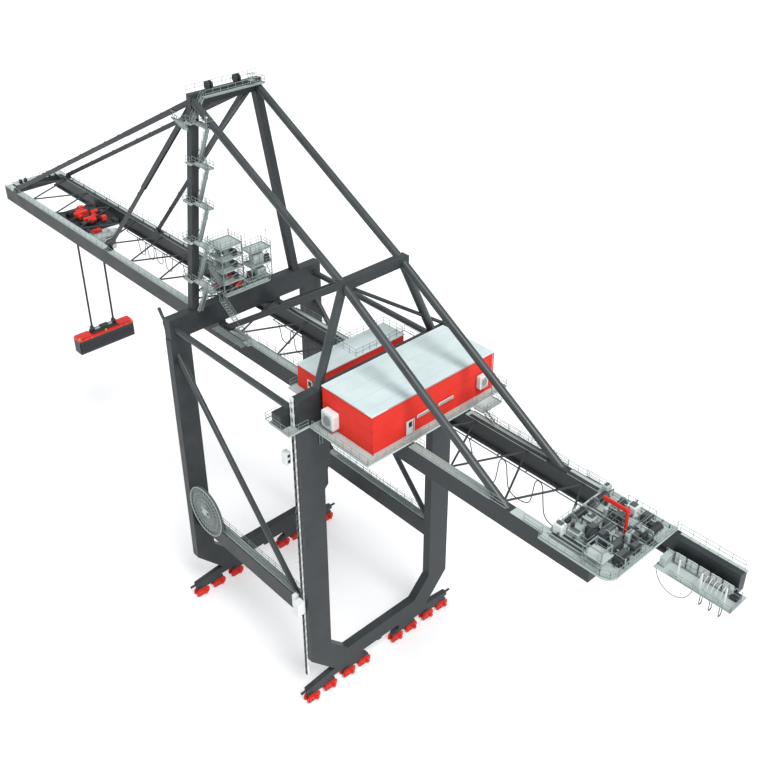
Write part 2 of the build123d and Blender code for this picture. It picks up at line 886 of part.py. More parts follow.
house_door_plane = Plane(origin=(house_x[0], house_door_y, floor_z[1]), x_dir=(0, 1, 0), z_dir=(0, 0, 1))
ehouse_door_x = ehouse_x[0] + ehouse_door_offset
ehouse_door_plane = Plane(origin=(ehouse_door_x, ehouse_y[1], floor_z[1]), x_dir=(1, 0, 0), z_dir=(0, 0, 1))
house_walls(house_x, (-house_half, house_half), house_height, house_door_plane, "house_walls")
house_roof_slab(house_x, (-house_half, house_half), house_height, "house_roof")
house_door(house_door_plane, "house_door")
house_walls(ehouse_x, ehouse_y, ehouse_height, ehouse_door_plane, "ehouse_walls")
house_roof_slab(ehouse_x, ehouse_y, ehouse_height, "ehouse_roof")
house_door(ehouse_door_plane, "ehouse_door")


# Running gear: equaliser beams, bogies and double flanged wheels at each corner
rails = (waterside_x, landside_x)
corners = [(rail_x, side) for rail_x in rails for side in sides]
axle_z = wheel_radius + flange_rise
sill_edge_y = leg_outer_y - outer_chamfer_run

# Main and lower equaliser beams of each corner, tapered to their tips, with a buffer at the outer end
with BuildPart() as equalisers:
    for rail_x, side in corners:
        with BuildSketch(Plane.YZ.offset(rail_x)) as beam_side:
            with BuildLine():
                Polyline(
                    (side * equaliser_inner_y, sill_bottom_z),
                    (side * sill_edge_y, sill_bottom_z),
                    (side * equaliser_outer_y, sill_bottom_z - equaliser_tip_drop),
                    (side * equaliser_outer_y, lower_beam_z[1]),
                    (side * equaliser_inner_y, lower_beam_z[1]),
                    close=True,
                )
            make_face()
        extrude(beam_side.sketch, amount=equaliser_width / 2, both=True)
        for outer, inner in (bogie_places[:2], bogie_places[2:]):
            tip = (inner - lower_beam_margin, outer + lower_beam_margin)
            with BuildSketch(Plane.YZ.offset(rail_x)) as lower_beam:
                with BuildLine():
                    Polyline(
                        (side * tip[0], lower_beam_z[0]),
                        (side * tip[1], lower_beam_z[0]),
                        (side * tip[1], lower_beam_z[0] + lower_beam_tip),
                        (side * outer, lower_beam_z[1]),
                        (side * inner, lower_beam_z[1]),
                        (side * tip[0], lower_beam_z[0] + lower_beam_tip),
                        close=True,
                    )
                make_face()
            extrude(lower_beam.sketch, amount=equaliser_width / 2, both=True)
        buffer_start = (rail_x, side * equaliser_outer_y, buffer_z)
        buffer_end = (rail_x, side * (equaliser_outer_y + buffer_length), buffer_z)
        tube(buffer_start, buffer_end, buffer_radius)
write(equalisers, "equalisers")

# Bogie frames: two rounded side plates and the saddle block between them
with BuildPart() as bogies:
    for rail_x, side in corners:
        for place in bogie_places:
            for plate_side in sides:
                plate_x = rail_x + plate_side * bogie_width / 2
                with BuildSketch(Plane.YZ.offset(plate_x)) as plate:
                    with Locations((side * place, bogie_clear + bogie_depth / 2)):
                        RectangleRounded(bogie_length, bogie_depth, bogie_corner)
                extrude(plate.sketch, amount=plate_side * bogie_plate)
            saddle_z = (lower_beam_z[0] - saddle_drop, lower_beam_z[0])
            block(span(rail_x, bogie_width), span(side * place, saddle_length), saddle_z)
write(bogies, "bogies")

# Double flanged wheels turned with their axles, two in each bogie
flange_radius = wheel_radius + flange_rise
with BuildPart() as rail_wheels:
    for rail_x, side in corners:
        for place in bogie_places:
            for wheel_side in sides:
                wheel_y = side * place + wheel_side * wheel_spread
                tread_x = span(rail_x, wheel_width)
                rim_x = (tread_x[0] - flange_thickness, tread_x[1] + flange_thickness)
                end_x = span(rail_x, bogie_width)
                with BuildSketch(Plane.XZ.offset(-wheel_y)) as half_section:
                    with BuildLine():
                        Polyline(
                            (end_x[0], axle_z),
                            (end_x[0], axle_z + axle_radius),
                            (rim_x[0], axle_z + axle_radius),
                            (rim_x[0], axle_z + flange_radius),
                            (tread_x[0], axle_z + wheel_radius),
                            (tread_x[1], axle_z + wheel_radius),
                            (rim_x[1], axle_z + flange_radius),
                            (rim_x[1], axle_z + axle_radius),
                            (end_x[1], axle_z + axle_radius),
                            (end_x[1], axle_z),
                            close=True,
                        )
                    make_face()
                revolve(half_section.sketch, axis=Axis((rail_x, wheel_y, axle_z), (1, 0, 0)))
write(rail_wheels, "rail_wheels")

# Cable reel on the near portal tie, with its bracket
reel_x = waterside_x - reel_back
reel_face_y = reel_y + reel_thickness
reel_web_y = span(reel_y + reel_thickness / 2, reel_web)
bracket_y = (leg_axis_y, tie_axis_y + tie_width / 2)
with BuildPart() as cable_reel:
    with BuildSketch(Plane.XY.offset(reel_z)) as reel_section:
        with BuildLine():
            Polyline(
                (reel_x, bracket_y[0]),
                (reel_x + reel_shaft_radius, bracket_y[0]),
                (reel_x + reel_shaft_radius, bracket_y[1] + running_gap),
                (reel_x + reel_hub_radius, bracket_y[1] + running_gap),
                (reel_x + reel_hub_radius, reel_y),
                (reel_x + reel_cone, reel_web_y[0]),
                (reel_x + reel_radius - reel_rim, reel_web_y[0]),
                (reel_x + reel_radius - reel_rim, reel_y),
                (reel_x + reel_radius, reel_y),
                (reel_x + reel_radius, reel_face_y),
                (reel_x + reel_radius - reel_rim, reel_face_y),
                (reel_x + reel_radius - reel_rim, reel_web_y[1]),
                (reel_x + reel_cone, reel_web_y[1]),
                (reel_x + reel_hub_radius, reel_face_y),
                (reel_x, reel_face_y),
                close=True,
            )
        make_face()
    revolve(reel_section.sketch, axis=Axis((reel_x, 0, reel_z), (0, 1, 0)))
write(cable_reel, "cable_reel")
with BuildPart() as reel_bracket:
    block(span(reel_x, 2 * reel_hub_radius), bracket_y, (tie_top_z, reel_z + reel_hub_radius))
    shaft_hole = reel_shaft_radius + pin_gap
    tube((reel_x, bracket_y[0], reel_z), (reel_x, bracket_y[1], reel_z), shaft_hole, Mode.SUBTRACT)
write(reel_bracket, "reel_bracket")

# Trolley frame between the boom girders
trolley_x = waterside_x + trolley_reach
wheel_axis_z = rail_top_z + trolley_wheel_radius
trolley_z = (wheel_axis_z - trolley_deck_depth / 2, wheel_axis_z + trolley_deck_depth / 2)
with BuildPart() as trolley_frame:
    for side in sides:
        beam_y = side_span(side, trolley_half_width - trolley_beam_width, trolley_half_width)
        block(span(trolley_x, 2 * trolley_half_length), beam_y, trolley_z)
    end_beam_x = trolley_half_length - trolley_beam_width / 2
    for place in (-end_beam_x, -rope_half_x, rope_half_x, end_beam_x):
        block(span(trolley_x + place, trolley_beam_width), span(0, 2 * trolley_half_width), trolley_z)
write(trolley_frame, "trolley_frame")

# Winches on decks over both ends of the trolley frame
with BuildPart() as trolley_machinery:
    for end in sides:
        deck_x = side_span(end, rope_half_x, end_beam_x)
        deck_top_z = trolley_z[1] + winch_deck
        deck_span = (trolley_x + deck_x[0], trolley_x + deck_x[1])
        block(deck_span, span(0, 2 * trolley_half_width), (trolley_z[1], deck_top_z))
        winch_x = trolley_x + end * winch_offset
        winch_z = deck_top_z + winch_radius + winch_clear
        tube((winch_x, -winch_half, winch_z), (winch_x, winch_half, winch_z), winch_radius)
        for side in sides:
            bearing_y = side_span(side, winch_half, winch_half + winch_bearing)
            bearing_x = span(winch_x, 2 * (winch_radius + winch_cheek))
            block(bearing_x, bearing_y, (deck_top_z, winch_z + winch_radius + winch_cheek))
write(trolley_machinery, "trolley_machinery")

with BuildPart() as trolley_wheels:
    for side in sides:
        for end in sides:
            wheel_x = trolley_x + end * trolley_wheel_base / 2
            wheel_y = side_span(side, rail_y - trolley_wheel_width / 2, rail_y + trolley_wheel_width / 2)
            tube((wheel_x, wheel_y[0], wheel_axis_z), (wheel_x, wheel_y[1], wheel_axis_z), trolley_wheel_radius)
            axle_y = (side * trolley_half_width, side * (rail_y + trolley_wheel_width / 2))
            tube((wheel_x, axle_y[0], wheel_axis_z), (wheel_x, axle_y[1], wheel_axis_z), axle_radius)
write(trolley_wheels, "trolley_wheels")

# Operator cab under the landside end of the trolley
cab_x = span(trolley_x - cab_back, cab_length)
cab_top_z = trolley_z[0] - cab_drop
with BuildPart() as operator_cab:
    block(cab_x, span(0, 2 * cab_half_width), (cab_top_z - cab_height, cab_top_z))
    for side in sides:
        arm_y = side_span(side, cab_half_width - cab_arm_width, cab_half_width)
        block((cab_x[0], trolley_x - trolley_half_length), arm_y, (cab_top_z, cab_top_z + cab_drop))
        arm_x = (trolley_x - trolley_half_length, trolley_x - trolley_half_length + trolley_beam_width)
        block(arm_x, arm_y, (cab_top_z, trolley_z[0]))
write(operator_cab, "operator_cab")

# Load: container, spreader, headblock and hoist ropes
container_top_z = container_bottom_z + container_height
spreader_top_z = container_top_z + spreader_depth
headblock_top_z = spreader_top_z + headblock_depth
container_x = span(trolley_x, container_width)
with BuildPart() as container:
    block(container_x, span(0, container_length), (container_bottom_z, container_top_z))
write(container, "container")
with BuildPart() as spreader:
    block(container_x, span(0, container_length), (container_top_z, spreader_top_z))
write(spreader, "spreader")
with BuildPart() as headblock:
    block(span(trolley_x, headblock_width), span(0, headblock_length), (spreader_top_z, headblock_top_z))
write(headblock, "headblock")
with BuildPart() as hoist_ropes:
    for side in sides:
        for end in sides:
            rope_x = trolley_x + end * rope_half_x
            rope_y = side * rope_half_y
            tube((rope_x, rope_y, headblock_top_z), (rope_x, rope_y, trolley_z[0]), rope_radius)
write(hoist_ropes, "hoist_ropes")

# Service platform and jib at the rear
service_x = (waterside_x - service_front - service_length, waterside_x - service_front)
service_z = (girder_top_z, girder_top_z + floor_thickness)
with BuildPart() as service_platform:
    with BuildSketch(Plane.XY.offset(service_z[0])) as service_plan:
        with Locations((service_x[1], -girder_outer_y)):
            Rectangle(service_length, girder_outer_y + service_outer_y, align=(Align.MAX, Align.MIN))
        rear_corner = service_plan.vertices().group_by(Axis.X)[0].sort_by(Axis.Y)[-1]
        fillet(rear_corner, service_corner)
    extrude(amount=floor_thickness)
write(service_platform, "service_platform")
jib_x = waterside_x - jib_reach
jib_top_z = service_z[1] + jib_height
collar_z = (jib_top_z - jib_collar_depth, jib_top_z)
with BuildPart() as jib_post:
    tube((jib_x, 0, service_z[1]), (jib_x, 0, jib_top_z), jib_post_radius)
    tube((jib_x, 0, service_z[1]), (jib_x, 0, collar_z[0] - pin_gap), jib_post_radius + jib_shoulder)
write(jib_post, "jib_post")
with BuildPart() as jib_arm:
    tube((jib_x, 0, collar_z[0]), (jib_x, 0, collar_z[1]), jib_post_radius + 2 * jib_shoulder)
    block((jib_x, jib_x + jib_arm_length), span(0, jib_arm_depth), collar_z)
    tube((jib_x, 0, collar_z[0]), (jib_x, 0, collar_z[1]), jib_post_radius + pin_gap, Mode.SUBTRACT)
write(jib_arm, "jib_arm")

# Catwalk hung under the inner edge of the far girder, out past its rear end
with BuildPart() as rear_catwalk:
    catwalk_y = (-girder_inner_y - catwalk_lap, -catwalk_inner_y)
    catwalk_z = (girder_bottom_z - grating_depth, girder_bottom_z)
    block((far_rear_x - catwalk_overhang, service_x[0]), catwalk_y, catwalk_z)
write(rear_catwalk, "rear_catwalk")

# Platforms: round the head of the near landside leg, joined to the house floor, and behind the mast head
platform_z = (frame_top_z, frame_top_z + floor_thickness)
beam_back_x = landside_x - cross_beam_width / 2
with BuildPart() as access_platforms:
    block((beam_back_x - deck_margin, landside_x + deck_front), (cross_beam_half, deck_outer_y), platform_z)
    block((beam_back_x - deck_margin, beam_back_x), (house_half + floor_side_margin, cross_beam_half), platform_z)
    walk_z = mast_head_top_z - head_walk_drop
    walk_x = (mast_head_x[0] - head_walk_width, mast_head_x[0])
    block(walk_x, (-mast_head_half, head_walk_near_y), (walk_z - grating_depth, walk_z))
    for side in sides:
        top_strut(side, Mode.SUBTRACT)
write(access_platforms, "access_platforms")

# Cabin of the lift's upper landing
cabin_x = (landside_x + landing_cabin_x[0], landside_x + landing_cabin_x[1])
with BuildPart() as landing_cabin:
    cabin_z = (platform_z[1], platform_z[1] + landing_cabin_height)
    block(cabin_x, (landing_cabin_inner_y, landing_cabin_outer_y), cabin_z)
write(landing_cabin, "landing_cabin")

# Landings and flights of the stair behind the near mast leg
with BuildPart() as mast_stairs:
    landings = []
    for level in mast_landing_levels:
        share = (level - cross_beam_top_z) / (mast_head_bottom_z - cross_beam_top_z)
        leg_y = mast_foot_y + (mast_top_y - mast_foot_y) * share
        inner_x = waterside_x + mast_lean * share - mast_width / 2
        block((inner_x - landing_length, inner_x), span(leg_y, landing_width), (level, level + grating_depth))
        landings.append((inner_x, leg_y, level))
    lowest_foot = (waterside_x - cross_beam_width / 2 + flight_tread, mast_foot_y, cross_beam_top_z)
    for lower, upper in zip([lowest_foot, *landings[:-1]], landings):
        low_x = lower[0] - 2 * flight_tread
        high_x = upper[0] - landing_length + flight_tread
        flight_y = (lower[1] + upper[1]) / 2
        with BuildSketch(Plane.XZ.offset(-flight_y)) as flight:
            with BuildLine():
                Polyline(
                    (low_x, lower[2]),
                    (low_x + flight_tread, lower[2]),
                    (high_x + flight_tread, upper[2]),
                    (high_x, upper[2]),
                    close=True,
                )
            make_face()
        extrude(flight.sketch, amount=flight_width / 2, both=True)
    top_strut(1, Mode.SUBTRACT)
write(mast_stairs, "mast_stairs")

# Rack mast of the lift on the near landside leg, and the lift car
lift_x = landside_x + lift_offset
with BuildPart() as lift_mast:
    block(span(lift_x, lift_mast_width), (leg_outer_y, leg_outer_y + lift_mast_depth), (lift_foot_z, lift_head_z))
write(lift_mast, "lift_mast")
car_y = (leg_outer_y + lift_mast_depth + lift_gap, leg_outer_y + lift_mast_depth + lift_gap + lift_car_depth)
with BuildPart() as lift_car:
    block(span(lift_x, lift_car_width), car_y, (lift_car_z, lift_car_z + lift_car_height))
write(lift_car, "lift_car")


# Gratings on the girder tops, clear of the struts, lugs and houses
def gratings(stretches, feet, label):
    with BuildPart() as grating:
        grating_z = (girder_top_z, girder_top_z + grating_depth)
        for side in sides:
            grating_y = side_span(side, girder_inner_y, girder_outer_y)
            for stretch in stretches:
                block(stretch, grating_y, grating_z)
            for foot_x in feet:
                block(span(foot_x, 2 * anchor_foot), grating_y, grating_z, Mode.SUBTRACT)
    write(grating, label)


backstay_foot_x = waterside_x - backstay_foot_reach
gratings(
    [
        (ehouse_floor_x[1], waterside_x - forward_strut_foot - grating_clear),
        (backstay_foot_x + grating_clear, house_x[0] - floor_margin),
        (service_x[1], backstay_foot_x - grating_clear),
    ],
    (),
    "girder_gratings",
)
gratings([(hinge_x + hinge_lug_foot, boom_tip_x)], (inner_anchor()[0], outer_anchor()[0]), "boom_gratings")
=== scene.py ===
# %% [markdown]
# # A ship-to-shore container crane at one tenth of its size
# The crane comes from CAD as plain solids, already in their places and on their moving bodies.
# This lesson dresses them: paint, gratings, handrails, stairs, machinery and cables.
# Everything is in metres, in the same frame as the CAD, so a real metre is a tenth here.

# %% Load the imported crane
from math import cos, pi, radians, sin

import bmesh
import bpy
from mathutils import Matrix, Vector


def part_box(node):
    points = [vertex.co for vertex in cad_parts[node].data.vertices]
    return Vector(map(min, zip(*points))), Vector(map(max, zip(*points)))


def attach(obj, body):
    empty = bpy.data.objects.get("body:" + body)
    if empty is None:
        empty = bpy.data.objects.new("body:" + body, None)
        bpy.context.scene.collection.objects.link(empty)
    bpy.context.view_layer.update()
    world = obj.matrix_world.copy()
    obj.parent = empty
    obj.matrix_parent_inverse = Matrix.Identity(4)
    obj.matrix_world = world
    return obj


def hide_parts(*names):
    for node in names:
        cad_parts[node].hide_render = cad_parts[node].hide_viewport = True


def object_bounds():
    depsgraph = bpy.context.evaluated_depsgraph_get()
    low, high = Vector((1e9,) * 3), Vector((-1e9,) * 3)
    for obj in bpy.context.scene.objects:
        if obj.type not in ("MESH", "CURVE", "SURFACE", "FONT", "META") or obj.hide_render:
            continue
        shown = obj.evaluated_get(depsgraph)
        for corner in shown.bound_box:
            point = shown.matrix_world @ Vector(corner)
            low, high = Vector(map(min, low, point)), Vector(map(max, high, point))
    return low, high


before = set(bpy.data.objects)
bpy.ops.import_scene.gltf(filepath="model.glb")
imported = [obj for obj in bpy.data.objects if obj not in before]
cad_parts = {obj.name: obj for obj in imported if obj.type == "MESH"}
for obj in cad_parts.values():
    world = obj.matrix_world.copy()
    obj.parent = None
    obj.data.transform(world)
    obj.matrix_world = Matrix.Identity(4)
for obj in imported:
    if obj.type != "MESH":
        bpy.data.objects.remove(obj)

cad_low, cad_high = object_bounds()
crane_nodes = dict(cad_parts)
cad_size = [round(high - low, 2) for low, high in zip(cad_low, cad_high)]
print(len(crane_nodes), "CAD nodes, together", cad_size, "m")

# %% [markdown]
# ## Camera
# The photograph was taken from high above the landside near corner. A camera has a place,
# a direction, a small roll and a lens, and the shift moves the picture on the sensor
# without turning the camera. Building its axes from the direction keeps all of it in view.

# %% Place the camera
camera_place = Vector((-11.1453, 7.8158, 13.1022))
look = Vector((0.63551, -0.57920, -0.51054)).normalized()
level_right = look.cross(Vector((0, 0, 1))).normalized()
level_up = level_right.cross(look)
camera_roll = -0.0057
camera_right = cos(camera_roll) * level_right + sin(camera_roll) * level_up
camera_up = cos(camera_roll) * level_up - sin(camera_roll) * level_right
camera_lens = bpy.data.cameras.new("camera")
camera_lens.sensor_width = 36
camera_lens.lens = 47.41
camera_lens.shift_x = 0.00815
camera_lens.shift_y = -0.0753
camera_lens.clip_end = 300
camera = bpy.data.objects.new("camera", camera_lens)
bpy.context.scene.collection.objects.link(camera)
camera_axes = Matrix((camera_right, camera_up, -look)).transposed()
camera.matrix_world = Matrix.Translation(camera_place) @ camera_axes.to_4x4()
bpy.context.scene.camera = camera
print("camera stands", round(camera_place.length, 2), "m from the crane's foot")

# %% [markdown]
# ## Light and floor
# The crane stands on white in the photograph, lit from high on the left. One broad sun gives
# the light and shade, and a pale sky fills the shadows. The floor looks nearly white to the
# camera and still takes the crane's shadow, which tells the eye where the wheels stand.

# %% Sun, sky and floor
bpy.context.scene.view_settings.view_transform = "Standard"
sun_light = bpy.data.lights.new("sun", "SUN")
sun_light.energy = 2.6
sun_light.angle = radians(24)
sun = bpy.data.objects.new("sun", sun_light)
sun_from = Vector((-0.62, 0.12, 1.0))
sun.rotation_euler = sun_from.to_track_quat("Z", "Y").to_euler()
bpy.context.scene.collection.objects.link(sun)

sky = bpy.data.worlds.new("sky")
sky.use_nodes = True
bpy.context.scene.world = sky
sky_nodes, sky_links = sky.node_tree.nodes, sky.node_tree.links
sky_nodes.clear()
sky_out = sky_nodes.new("ShaderNodeOutputWorld")
sky_light = sky_nodes.new("ShaderNodeBackground")
sky_light.inputs["Color"].default_value = (0.93, 0.96, 1.0, 1)
sky_light.inputs["Strength"].default_value = 0.75
sky_seen = sky_nodes.new("ShaderNodeBackground")
sky_seen.inputs["Color"].default_value = (1, 1, 1, 1)
sky_mix = sky_nodes.new("ShaderNodeMixShader")
sky_path = sky_nodes.new("ShaderNodeLightPath")
sky_links.new(sky_path.outputs["Is Camera Ray"], sky_mix.inputs["Fac"])
sky_links.new(sky_light.outputs["Background"], sky_mix.inputs[1])
sky_links.new(sky_seen.outputs["Background"], sky_mix.inputs[2])
sky_links.new(sky_mix.outputs["Shader"], sky_out.inputs["Surface"])

bpy.ops.object.select_all(action="DESELECT")
bpy.ops.mesh.primitive_plane_add(size=160, location=(0, 0, 0))
floor = bpy.context.object
floor.name = "floor"
floor_paint = bpy.data.materials.new("floor_paint")
floor_paint.use_nodes = True
floor_shader = floor_paint.node_tree.nodes["Principled BSDF"]
floor_shader.inputs["Base Color"].default_value = (0.62, 0.62, 0.62, 1)
floor_shader.inputs["Roughness"].default_value = 1
floor_shader.inputs["Emission Color"].default_value = (1, 1, 1, 1)
floor_shader.inputs["Emission Strength"].default_value = 0.38
floor.data.materials.append(floor_paint)

# %% [markdown]
# ## A kit for paint
# Painted steel is never one flat colour. Large soft patches come from the sun, streaks run
# down from the rain, and thin lines show where plates are welded. One function makes such a
# paint from a few numbers, so that all finishes of the crane age in the same way.
# The patterns read Object coordinates, so they stay in place when a part moves.
# Three helpers come first, because the same few shader nodes are laid again and again.

# %% Helpers for shader nodes


def linear(colour):
    """Turns a screen colour, 0 to 255, into the linear one that a shader takes."""
    out = []
    for value in colour:
        value /= 255
        out.append(value / 12.92 if value <= 0.04045 else ((value + 0.055) / 1.055) ** 2.4)
    return (*out, 1)


def add_node(nodes, kind, values=None, **settings):
    """A shader node with its input values and its settings."""
    node = nodes.new(kind)
    for name, value in settings.items():
        setattr(node, name, value)
    for name, value in (values or {}).items():
        node.inputs[name].default_value = value
    return node


def mix_colour(nodes, links, factor, first, second):
    """Mixes two colours, each given as a value or as a socket."""
    mix = nodes.new("ShaderNodeMix")
    mix.data_type = "RGBA"
    for socket, value in ((mix.inputs[0], factor), (mix.inputs[6], first), (mix.inputs[7], second)):
        if isinstance(value, bpy.types.NodeSocket):
            links.new(value, socket)
        else:
            socket.default_value = value
    return mix.outputs[2]


def ramp(nodes, links, source, low, high, low_value=0.0, high_value=1.0):
    """Stretches the part of a value between low and high to another range."""
    ends = {"From Min": low, "From Max": high, "To Min": low_value, "To Max": high_value}
    ranged = add_node(nodes, "ShaderNodeMapRange", ends)
    links.new(source, ranged.inputs["Value"])
    return ranged.outputs["Result"]


# %% [markdown]
# ## One weathered paint
# Four layers lie on each other: soft patches of noise, rain streaks of noise stretched along Z,
# thin lines for welds or for the bars of a grating, and a fine grain for the bump. The gaps
# between a grating's bars are darkened: painted shade, together with the dark steel seen below them.
# Image textures could carry the same, but patterns made in the shader stay sharp at any
# distance and need no unwrapping of hundreds of bars.

# %% The paint function


def paint(name, colour, rough=0.45, metal=0.0, patch=0.10, streak=0.12, seam=None, seam_depth=0.25,
          grid=None, coat=0.0, shine=0.5):
    """A weathered paint. seam is (axis, distance) of weld lines, grid the pitch of a grating."""
    finish = bpy.data.materials.new(name)
    finish.use_nodes = True
    nodes, links = finish.node_tree.nodes, finish.node_tree.links
    shader = nodes["Principled BSDF"]
    shader.inputs["Metallic"].default_value = metal
    shader.inputs["Coat Weight"].default_value = coat
    shader.inputs["Specular IOR Level"].default_value = shine
    place = add_node(nodes, "ShaderNodeTexCoord").outputs["Object"]
    base = linear(colour)
    dark = (*[v * (1 - 2.2 * patch) for v in base[:3]], 1)
    light = (*[min(1, v * (1 + 1.6 * patch) + 0.01) for v in base[:3]], 1)

    cloud = add_node(nodes, "ShaderNodeTexNoise", {"Scale": 2.3, "Detail": 5, "Roughness": 0.6})
    links.new(place, cloud.inputs["Vector"])
    tone = mix_colour(nodes, links, ramp(nodes, links, cloud.outputs["Fac"], 0.3, 0.7), dark, light)

    run = add_node(nodes, "ShaderNodeMapping", {"Scale": (16, 16, 1.1)})
    links.new(place, run.inputs["Vector"])
    rain = add_node(nodes, "ShaderNodeTexNoise", {"Scale": 1.6, "Detail": 4, "Roughness": 0.65})
    links.new(run.outputs["Vector"], rain.inputs["Vector"])
    wet = ramp(nodes, links, rain.outputs["Fac"], 0.52, 0.78, 0, streak)
    tone = mix_colour(nodes, links, wet, tone, (*[v * 0.45 + 0.02 for v in base[:3]], 1))

    grain = add_node(nodes, "ShaderNodeTexNoise", {"Scale": 90, "Detail": 3})
    links.new(place, grain.inputs["Vector"])
    height = ramp(nodes, links, grain.outputs["Fac"], 0, 1, 0, 0.06)
    parts = add_node(nodes, "ShaderNodeSeparateXYZ")
    links.new(place, parts.inputs["Vector"])

    def lines(axis, pitch, width):
        """A value of 1 on thin lines at every pitch along an axis, and 0 between them."""
        turns = add_node(nodes, "ShaderNodeMath", {1: pitch}, operation="DIVIDE")
        links.new(parts.outputs[axis], turns.inputs[0])
        saw = add_node(nodes, "ShaderNodeMath", {1: 0.5}, operation="PINGPONG")
        links.new(turns.outputs[0], saw.inputs[0])
        return ramp(nodes, links, saw.outputs[0], 0, width / pitch, 1, 0)

    if seam:
        weld = lines(seam[0], seam[1], 0.006)
        tone = mix_colour(nodes, links, weld, tone, (*[v * (1 - seam_depth) for v in base[:3]], 1))
        both = add_node(nodes, "ShaderNodeMath", operation="ADD")
        links.new(height, both.inputs[0])
        links.new(weld, both.inputs[1])
        height = both.outputs[0]
    if grid:
        bars = add_node(nodes, "ShaderNodeMath", operation="MAXIMUM")
        links.new(lines("X", grid, grid * 0.22), bars.inputs[0])
        links.new(lines("Y", grid * 3, grid * 0.22), bars.inputs[1])
        # The gaps between the bars are darkened towards a third of the colour: painted shade, together
        # with the dark steel seen through the openings.
        gap = ramp(nodes, links, bars.outputs[0], 0, 1, 0.42, 0)
        tone = mix_colour(nodes, links, gap, tone, (*[v * 0.3 for v in base[:3]], 1))
        height = bars.outputs[0]
    bump = add_node(nodes, "ShaderNodeBump", {"Strength": 0.35, "Distance": 0.002})
    links.new(height, bump.inputs["Height"])
    links.new(bump.outputs["Normal"], shader.inputs["Normal"])
    links.new(tone, shader.inputs["Base Color"])
    sheen = ramp(nodes, links, cloud.outputs["Fac"], 0.3, 0.7, rough - 0.08, rough + 0.12)
    links.new(sheen, shader.inputs["Roughness"])
    return finish


# %% [markdown]
# ## The finishes
# The structure is a dark grey, the walkways a pale grey, and the machines and houses red. Long
# beams carry a weld line every few plates, each along the beam's own axis. Colours
# are given as they look on screen, from 0 to 255, because that is how a paint chart reads.

# %% Make the finishes
steel_grey = (46, 51, 53)
finishes = {
    "beam_paint": paint("beam_paint", steel_grey, shine=0.3, seam=("X", 0.9)),
    "leg_paint": paint("leg_paint", steel_grey, shine=0.3, seam=("Z", 0.95)),
    "tie_paint": paint("tie_paint", steel_grey, shine=0.3, seam=("Y", 0.8)),
    "tube_paint": paint("tube_paint", (52, 58, 59), rough=0.38, patch=0.07, seam=("Z", 0.7)),
    "grating_paint": paint("grating_paint", (196, 208, 204), shine=0.3, rough=0.6, patch=0.05,
                           grid=0.008),
    "rail_paint": paint("rail_paint", (138, 150, 147), shine=0.3, rough=0.5, patch=0.05, streak=0.05),
    "house_paint": paint("house_paint", (228, 54, 42), shine=0.12, rough=0.6, patch=0.04, streak=0.08,
                         seam=("Z", 0.2)),
    "roof_paint": paint("roof_paint", (198, 211, 210), rough=0.6, patch=0.04, streak=0.0,
                        seam=("X", 0.235)),
    "white_paint": paint("white_paint", (222, 226, 225), rough=0.45, patch=0.03, streak=0.05),
    "machine_red": paint("machine_red", (214, 46, 36), shine=0.25, rough=0.4, patch=0.06),
    "wheel_steel": paint("wheel_steel", (92, 90, 88), rough=0.35, metal=0.9, patch=0.15),
    "rope_steel": paint("rope_steel", (70, 72, 74), rough=0.5, metal=0.6, patch=0.05),
    "rope_black": paint("rope_black", (38, 40, 41), rough=0.6, patch=0.05, streak=0.0,
                        seam=("Z", 0.012)),
    "slate_paint": paint("slate_paint", (44, 47, 52), rough=0.5, patch=0.06),
    "reel_paint": paint("reel_paint", (72, 80, 80), rough=0.45, patch=0.05),
    "black_rubber": paint("black_rubber", (30, 31, 33), rough=0.7, patch=0.1, streak=0.0),
    "orange_paint": paint("orange_paint", (226, 118, 38), rough=0.45, patch=0.05),
    "yellow_paint": paint("yellow_paint", (178, 160, 52), rough=0.5, patch=0.08),
    "cab_glass": paint("cab_glass", (44, 58, 66), rough=0.12, patch=0.04, streak=0.0, coat=0.6),
}
print(len(finishes), "finishes")

# %% [markdown]
# ## Painting the CAD nodes
# A node whose shape is right keeps it, and only its material changes. The table says which
# finish each one takes, and what isn't named is a beam. Painting by a table keeps the choice
# of colours in one place, where it can be compared at a glance.

# %% Give each node its finish
node_finish = {
    "leg_paint": ("waterside_legs", "landside_legs", "mast_legs"),
    "tie_paint": ("waterside_cross_beam", "landside_cross_beam", "waterside_sill", "landside_sill",
                  "apex_beam", "mast_head", "equalisers"),
    "tube_paint": ("apex_legs", "backstays", "top_struts", "side_braces", "upper_ties", "mast_brace"),
    "grating_paint": ("boom_gratings", "girder_gratings", "rear_catwalk", "service_platform",
                      "house_floors", "mast_stairs", "operator_cab", "access_platforms"),
    "house_paint": ("house_walls", "ehouse_walls"),
    "roof_paint": ("house_roof", "ehouse_roof"),
    "white_paint": ("house_door", "ehouse_door", "lift_car"),
    "machine_red": ("bogies", "spreader", "jib_arm", "jib_post"),
    "wheel_steel": ("rail_wheels", "trolley_wheels"),
    "rope_steel": ("hoist_ropes",),
    "slate_paint": ("container", "lift_mast"),
    "reel_paint": ("cable_reel",),
}
finish_of_node = {node: finish for finish, names in node_finish.items() for node in names}
for node_name, node_object in crane_nodes.items():
    node_paint = finishes[finish_of_node.get(node_name, "beam_paint")]
    if node_object.material_slots:
        for material_slot in node_object.material_slots:
            material_slot.material = node_paint
    else:
        node_object.data.materials.append(node_paint)
print("painted", len(crane_nodes), "nodes")

# %% [markdown]
# ## A kit for bars, boxes and rails
# Most of what dresses a crane is thin: handrails, ladders, stairs, brackets. Each kind of member
# is modelled once as a pattern of length 1 and copied as often as needed. The blocks have
# chamfered edges that catch the light. Two helpers keep the operators apart: one clears the
# selection, and one takes the finished mesh out of its object.

# %% Patterns of a tube, a flat bar and a bevelled block


def fresh():
    """Leaves edit mode with nothing selected, so that the next operator acts on its own work only."""
    if bpy.context.mode != "OBJECT":
        bpy.ops.object.mode_set(mode="OBJECT")
    bpy.ops.object.select_all(action="DESELECT")


